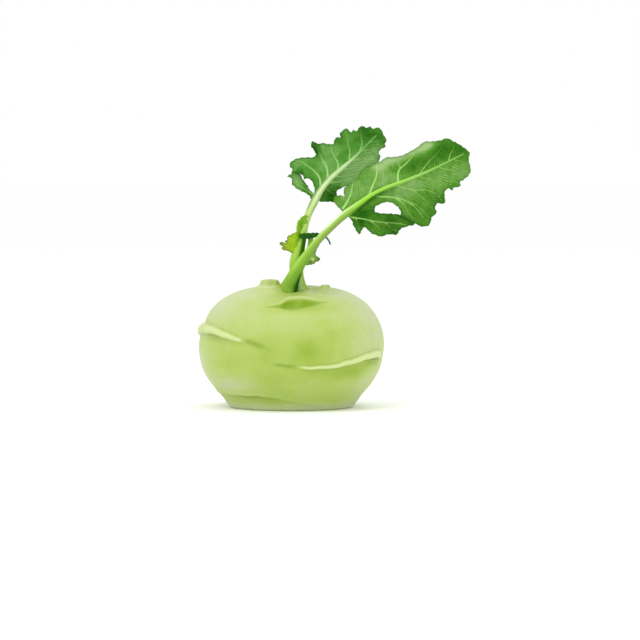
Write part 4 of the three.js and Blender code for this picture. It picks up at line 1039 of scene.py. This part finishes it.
def blade_piece(name, edge, stalk, cut, form, veins, tone_and_light_patches, mean_tone, material, edge_light=None, extra=None):
    rim = fine_edge(edge, BLADE_EDGE_STEP)
    lines = [smooth_line(line, int(2 + run_along(np.array(line))[-1] / 0.5), space=2) for _, _, line in veins]
    flat, triangles = flat_mesh(rim, lines, BLADE_CELL)
    relative, pale = vein_field(flat, veins)
    depth, moved, reach, across, run = hang(flat, stalk, cut, form)
    to_rim, _ = nearest_of(flat, rim)
    quilt = 0.45 * smoothstep(0, 4.5, np.minimum(relative * 0.45, 5)) * smoothstep(0, 4, to_rim)
    frill = 0.45 * fade(0, 5, to_rim) * np.sin(run * 1.35 + across * 0.3)
    crinkle = np.array([noise.fractal(Vector((x, v, 0)) / 2.2, 0.6, 2.1, 2) for x, v in flat])
    crinkle = 0.16 * crinkle * smoothstep(0.5, 2.5, relative)
    depth = depth + (frill + crinkle - quilt) * smoothstep(0.8, 4.0, np.abs(across))
    if extra is not None:
        depth = depth + extra(flat)
    place = leaned(moved[:, 0], depth, moved[:, 1])
    ridge = np.exp(-relative ** 2) * (0.12 + 0.4 * pale)
    thin = BLADE_THICK * (0.45 + 0.55 * smoothstep(0, 2.5, to_rim))
    # The tone carries the patches' painted light and shade, and edge_light paints light along the upper edge.
    tone = mean_tone + patches_at(flat, tone_and_light_patches)
    if edge_light is not None:
        low, high, amount = edge_light
        window = smoothstep(low, low + 5, flat[:, 0]) * fade(high - 5, high, flat[:, 0])
        tone = tone + amount * window * fade(1, 6, to_rim) * (across > 0)
    by_rib = np.where(across < 0, bell(reach - 0.25, 0.5), 0.35 * bell(reach, 0.5))
    masks = dict(
        tone=tone, vein=relative, vein_pale=pale, combed=clamp01(patches_at(flat, form["combed"])),
        comb=run - np.where(across > 0, form["comb_upper"], form["comb_lower"]) * np.abs(across),
        rim=fade(0.2, 1.5, to_rim) * (0.4 + 0.6 * smoothstep(2, 12, reach)),
        shade=0.6 * fade(*form["shaded_until"], run) * by_rib)
    return plate_piece(name, place, triangles, ridge * 0.7, ridge, thin, masks, material)


def curled_tooth(flat):
    """The tooth at the upper left of the back blade turns towards the front."""
    past = (11.9 - flat[:, 0]) * 0.92 + (flat[:, 1] - 128.5) * 0.3
    near = smoothstep(127.5, 130, flat[:, 1]) * fade(14, 16, flat[:, 0])
    return -1.5 * np.maximum(past + 1.6, 0) * near


def flap_piece(name, flap):
    """A small lobe or wing on a stalk."""
    rim = fine_edge(flap["edge"], FLAP_EDGE_STEP)
    flat, triangles = flat_mesh(rim, [], FLAP_CELL)
    away, _, _ = to_line(flat, np.array(flap["root"], float))
    to_rim, _ = nearest_of(flat, rim)
    depth = flap["depth"] + flap["fall"] * away
    depth = depth + 0.35 * fade(0, 2.5, to_rim) * np.sin(flat[:, 1] * 1.7 + flat[:, 0])
    depth = depth + 0.2 * np.sin(flat[:, 1] * 1.1) * smoothstep(0, 3, away)
    depth = depth + flap["sunk"] * fade(0, 1.6, away)
    place = leaned(flat[:, 0], depth, flat[:, 1])
    thin = FLAP_THICK * (0.4 + 0.6 * smoothstep(0, 1.8, to_rim))
    masks = dict(away=away, to_rim=to_rim, tone=patches_at(flat, flap["spots"]))
    material = flap_material(flap["material"], *flap["colours"], flap["translucent"])
    return plate_piece(name, place, triangles, 0 * thin, 0 * thin, thin, masks, material)


def narrow_leaflet_piece():
    """The leaflet that passes behind the front stalk: a folded blade seen on its dark side."""
    count, sides, tilted = 60, 20, math.radians(45)
    centre, half, ahead = leaned_line(NARROW_LEAFLET, count)
    across = np.array([0, math.cos(tilted), math.sin(tilted)])
    up = unit(np.cross(ahead, across))
    turn = np.linspace(0, TAU, sides, endpoint=False)[None, :, None]
    out = half[:, None] * np.cos(turn) * (1 + 0.12 * np.sin(np.arange(count) * 0.9)[:, None, None])
    fold = np.sin(turn) * 0.4 + 0.35 * np.sin(turn) ** 2 - 0.2
    points = centre[:, None] + across * out + up[:, None] * fold
    body = np.vstack([centre[:1], points.reshape(-1, 3), centre[-1:]])
    s = Shader("leaflet_dark")
    green = s.ramp(s.noise(1.6, 4.0), (0.3, (18, 70, 2)), (0.7, (40, 104, 12)))
    green = s.layers(green, ("tail", (92, 122, 84)))
    material = s.surface(green, 0.5, s.bump(s.cells(0.8), 0.15), Specular_IOR_Level=0.06)
    tail = spread(np.repeat(smoothstep(0.7, 0.85, np.linspace(0, 1, count)), sides), 0, 1)
    return make_object("narrow_leaflet", body, wrap_faces(count, sides), dict(tail=tail), material)


def leaflet_stem_piece():
    """The short stem that joins the narrow leaflet to its stalk."""
    count, sides = 24, 16
    body, _ = stalk_mesh(LEAFLET_STEM, count, sides, lambda run, along, angle, radius: radius + 0 * angle)
    s = Shader("leaflet_stem_green")
    green = s.ramp(s.noise(1.2), (0.3, (126, 182, 52)), (0.7, (160, 210, 84)))
    material = s.surface(green, 0.5, s.bump(s.noise(0.8), 0.1), Specular_IOR_Level=0.08)
    return make_object("leaflet_stem", body, wrap_faces(count, sides), {}, material)


# ---- The whole ----

def place_piece(piece, slot, *nodes):
    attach(piece, "root")
    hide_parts(*nodes)


def build_kohlrabi():
    place_piece(bulb_piece(), "bulb_skin", "bulb")
    place_piece(right_stalk_piece(), "front_stalk", "right_leaf_stalk")
    place_piece(left_stalk_piece(), "back_stalk", "left_leaf_stalk")
    skin = blade_material("front_blade_skin", (28, 104, 0), (98, 162, 50), (176, 212, 138), (188, 244, 128))
    blade = blade_piece("right_blade", RIGHT_EDGE, RIGHT_STALK, RIGHT_CUT, RIGHT_HANG, RIGHT_VEINS,
                        RIGHT_TONE_AND_LIGHT, 0.58, skin, edge_light=(40, 74, 0.5))
    place_piece(blade, "front_blade", "right_leaf_blade")
    skin = blade_material("back_blade_skin", (26, 99, 0), (90, 158, 54), (166, 214, 132), (184, 242, 144))
    blade = blade_piece("left_blade", LEFT_EDGE, LEFT_STALK, LEFT_CUT, LEFT_HANG, LEFT_VEINS, LEFT_TONE_AND_LIGHT,
                        0.56, skin, extra=curled_tooth)
    place_piece(blade, "back_blade", "left_leaf_blade")
    for name, flap in FLAPS.items():
        place_piece(flap_piece(name, flap), flap["slot"], flap["node"])
    place_piece(narrow_leaflet_piece(), "back_stalk", "left_leaf_stalk")
    place_piece(leaflet_stem_piece(), "back_stalk", "left_leaf_stalk")


def build_floor():
    corners = [(x * FLOOR_HALF, y * FLOOR_HALF, 0) for x, y in ((-1, -1), (1, -1), (1, 1), (-1, 1))]
    white = Shader("floor_white").surface((0.994, 0.994, 0.994, 1), 0.9, Specular_IOR_Level=0.0)
    floor = make_object("floor", corners, [(0, 1, 2, 3)], {}, white)


def build_lights():
    world = bpy.data.worlds.new("studio")
    bpy.context.scene.world = world
    world.use_nodes = True
    background = world.node_tree.nodes["Background"]
    background.inputs["Color"].default_value = (1, 1, 1, 1)
    background.inputs["Strength"].default_value = 1.0
    for name, place, target, size, watts in LIGHTS:
        light = bpy.data.lights.new(name, "AREA")
        light.shape = "DISK"
        light.size = size
        light.energy = watts
        lamp = link_object(name, light)
        lamp.location = place
        lamp.rotation_euler = (Vector(target) - Vector(place)).to_track_quat("-Z", "Y").to_euler()


def build_camera():
    """At the height and distance of the view: 2.5 degrees above the horizon, 1.6 metres away."""
    camera = bpy.data.cameras.new("camera")
    camera.sensor_width = 36
    camera.lens = 180
    camera.clip_start = 0.05
    camera.clip_end = 200
    eye = link_object("camera", camera)
    back = Vector((0, -math.cos(VIEW_ELEVATION), math.sin(VIEW_ELEVATION)))
    eye.location = Vector(CAMERA_TARGET) + back * (VIEW_DISTANCE * MM)
    eye.rotation_euler = (-back).to_track_quat("-Z", "Y").to_euler()
    bpy.context.scene.camera = eye


build_camera()
build_floor()
build_lights()
build_kohlrabi()
bpy.context.scene.view_settings.view_transform = "Standard"
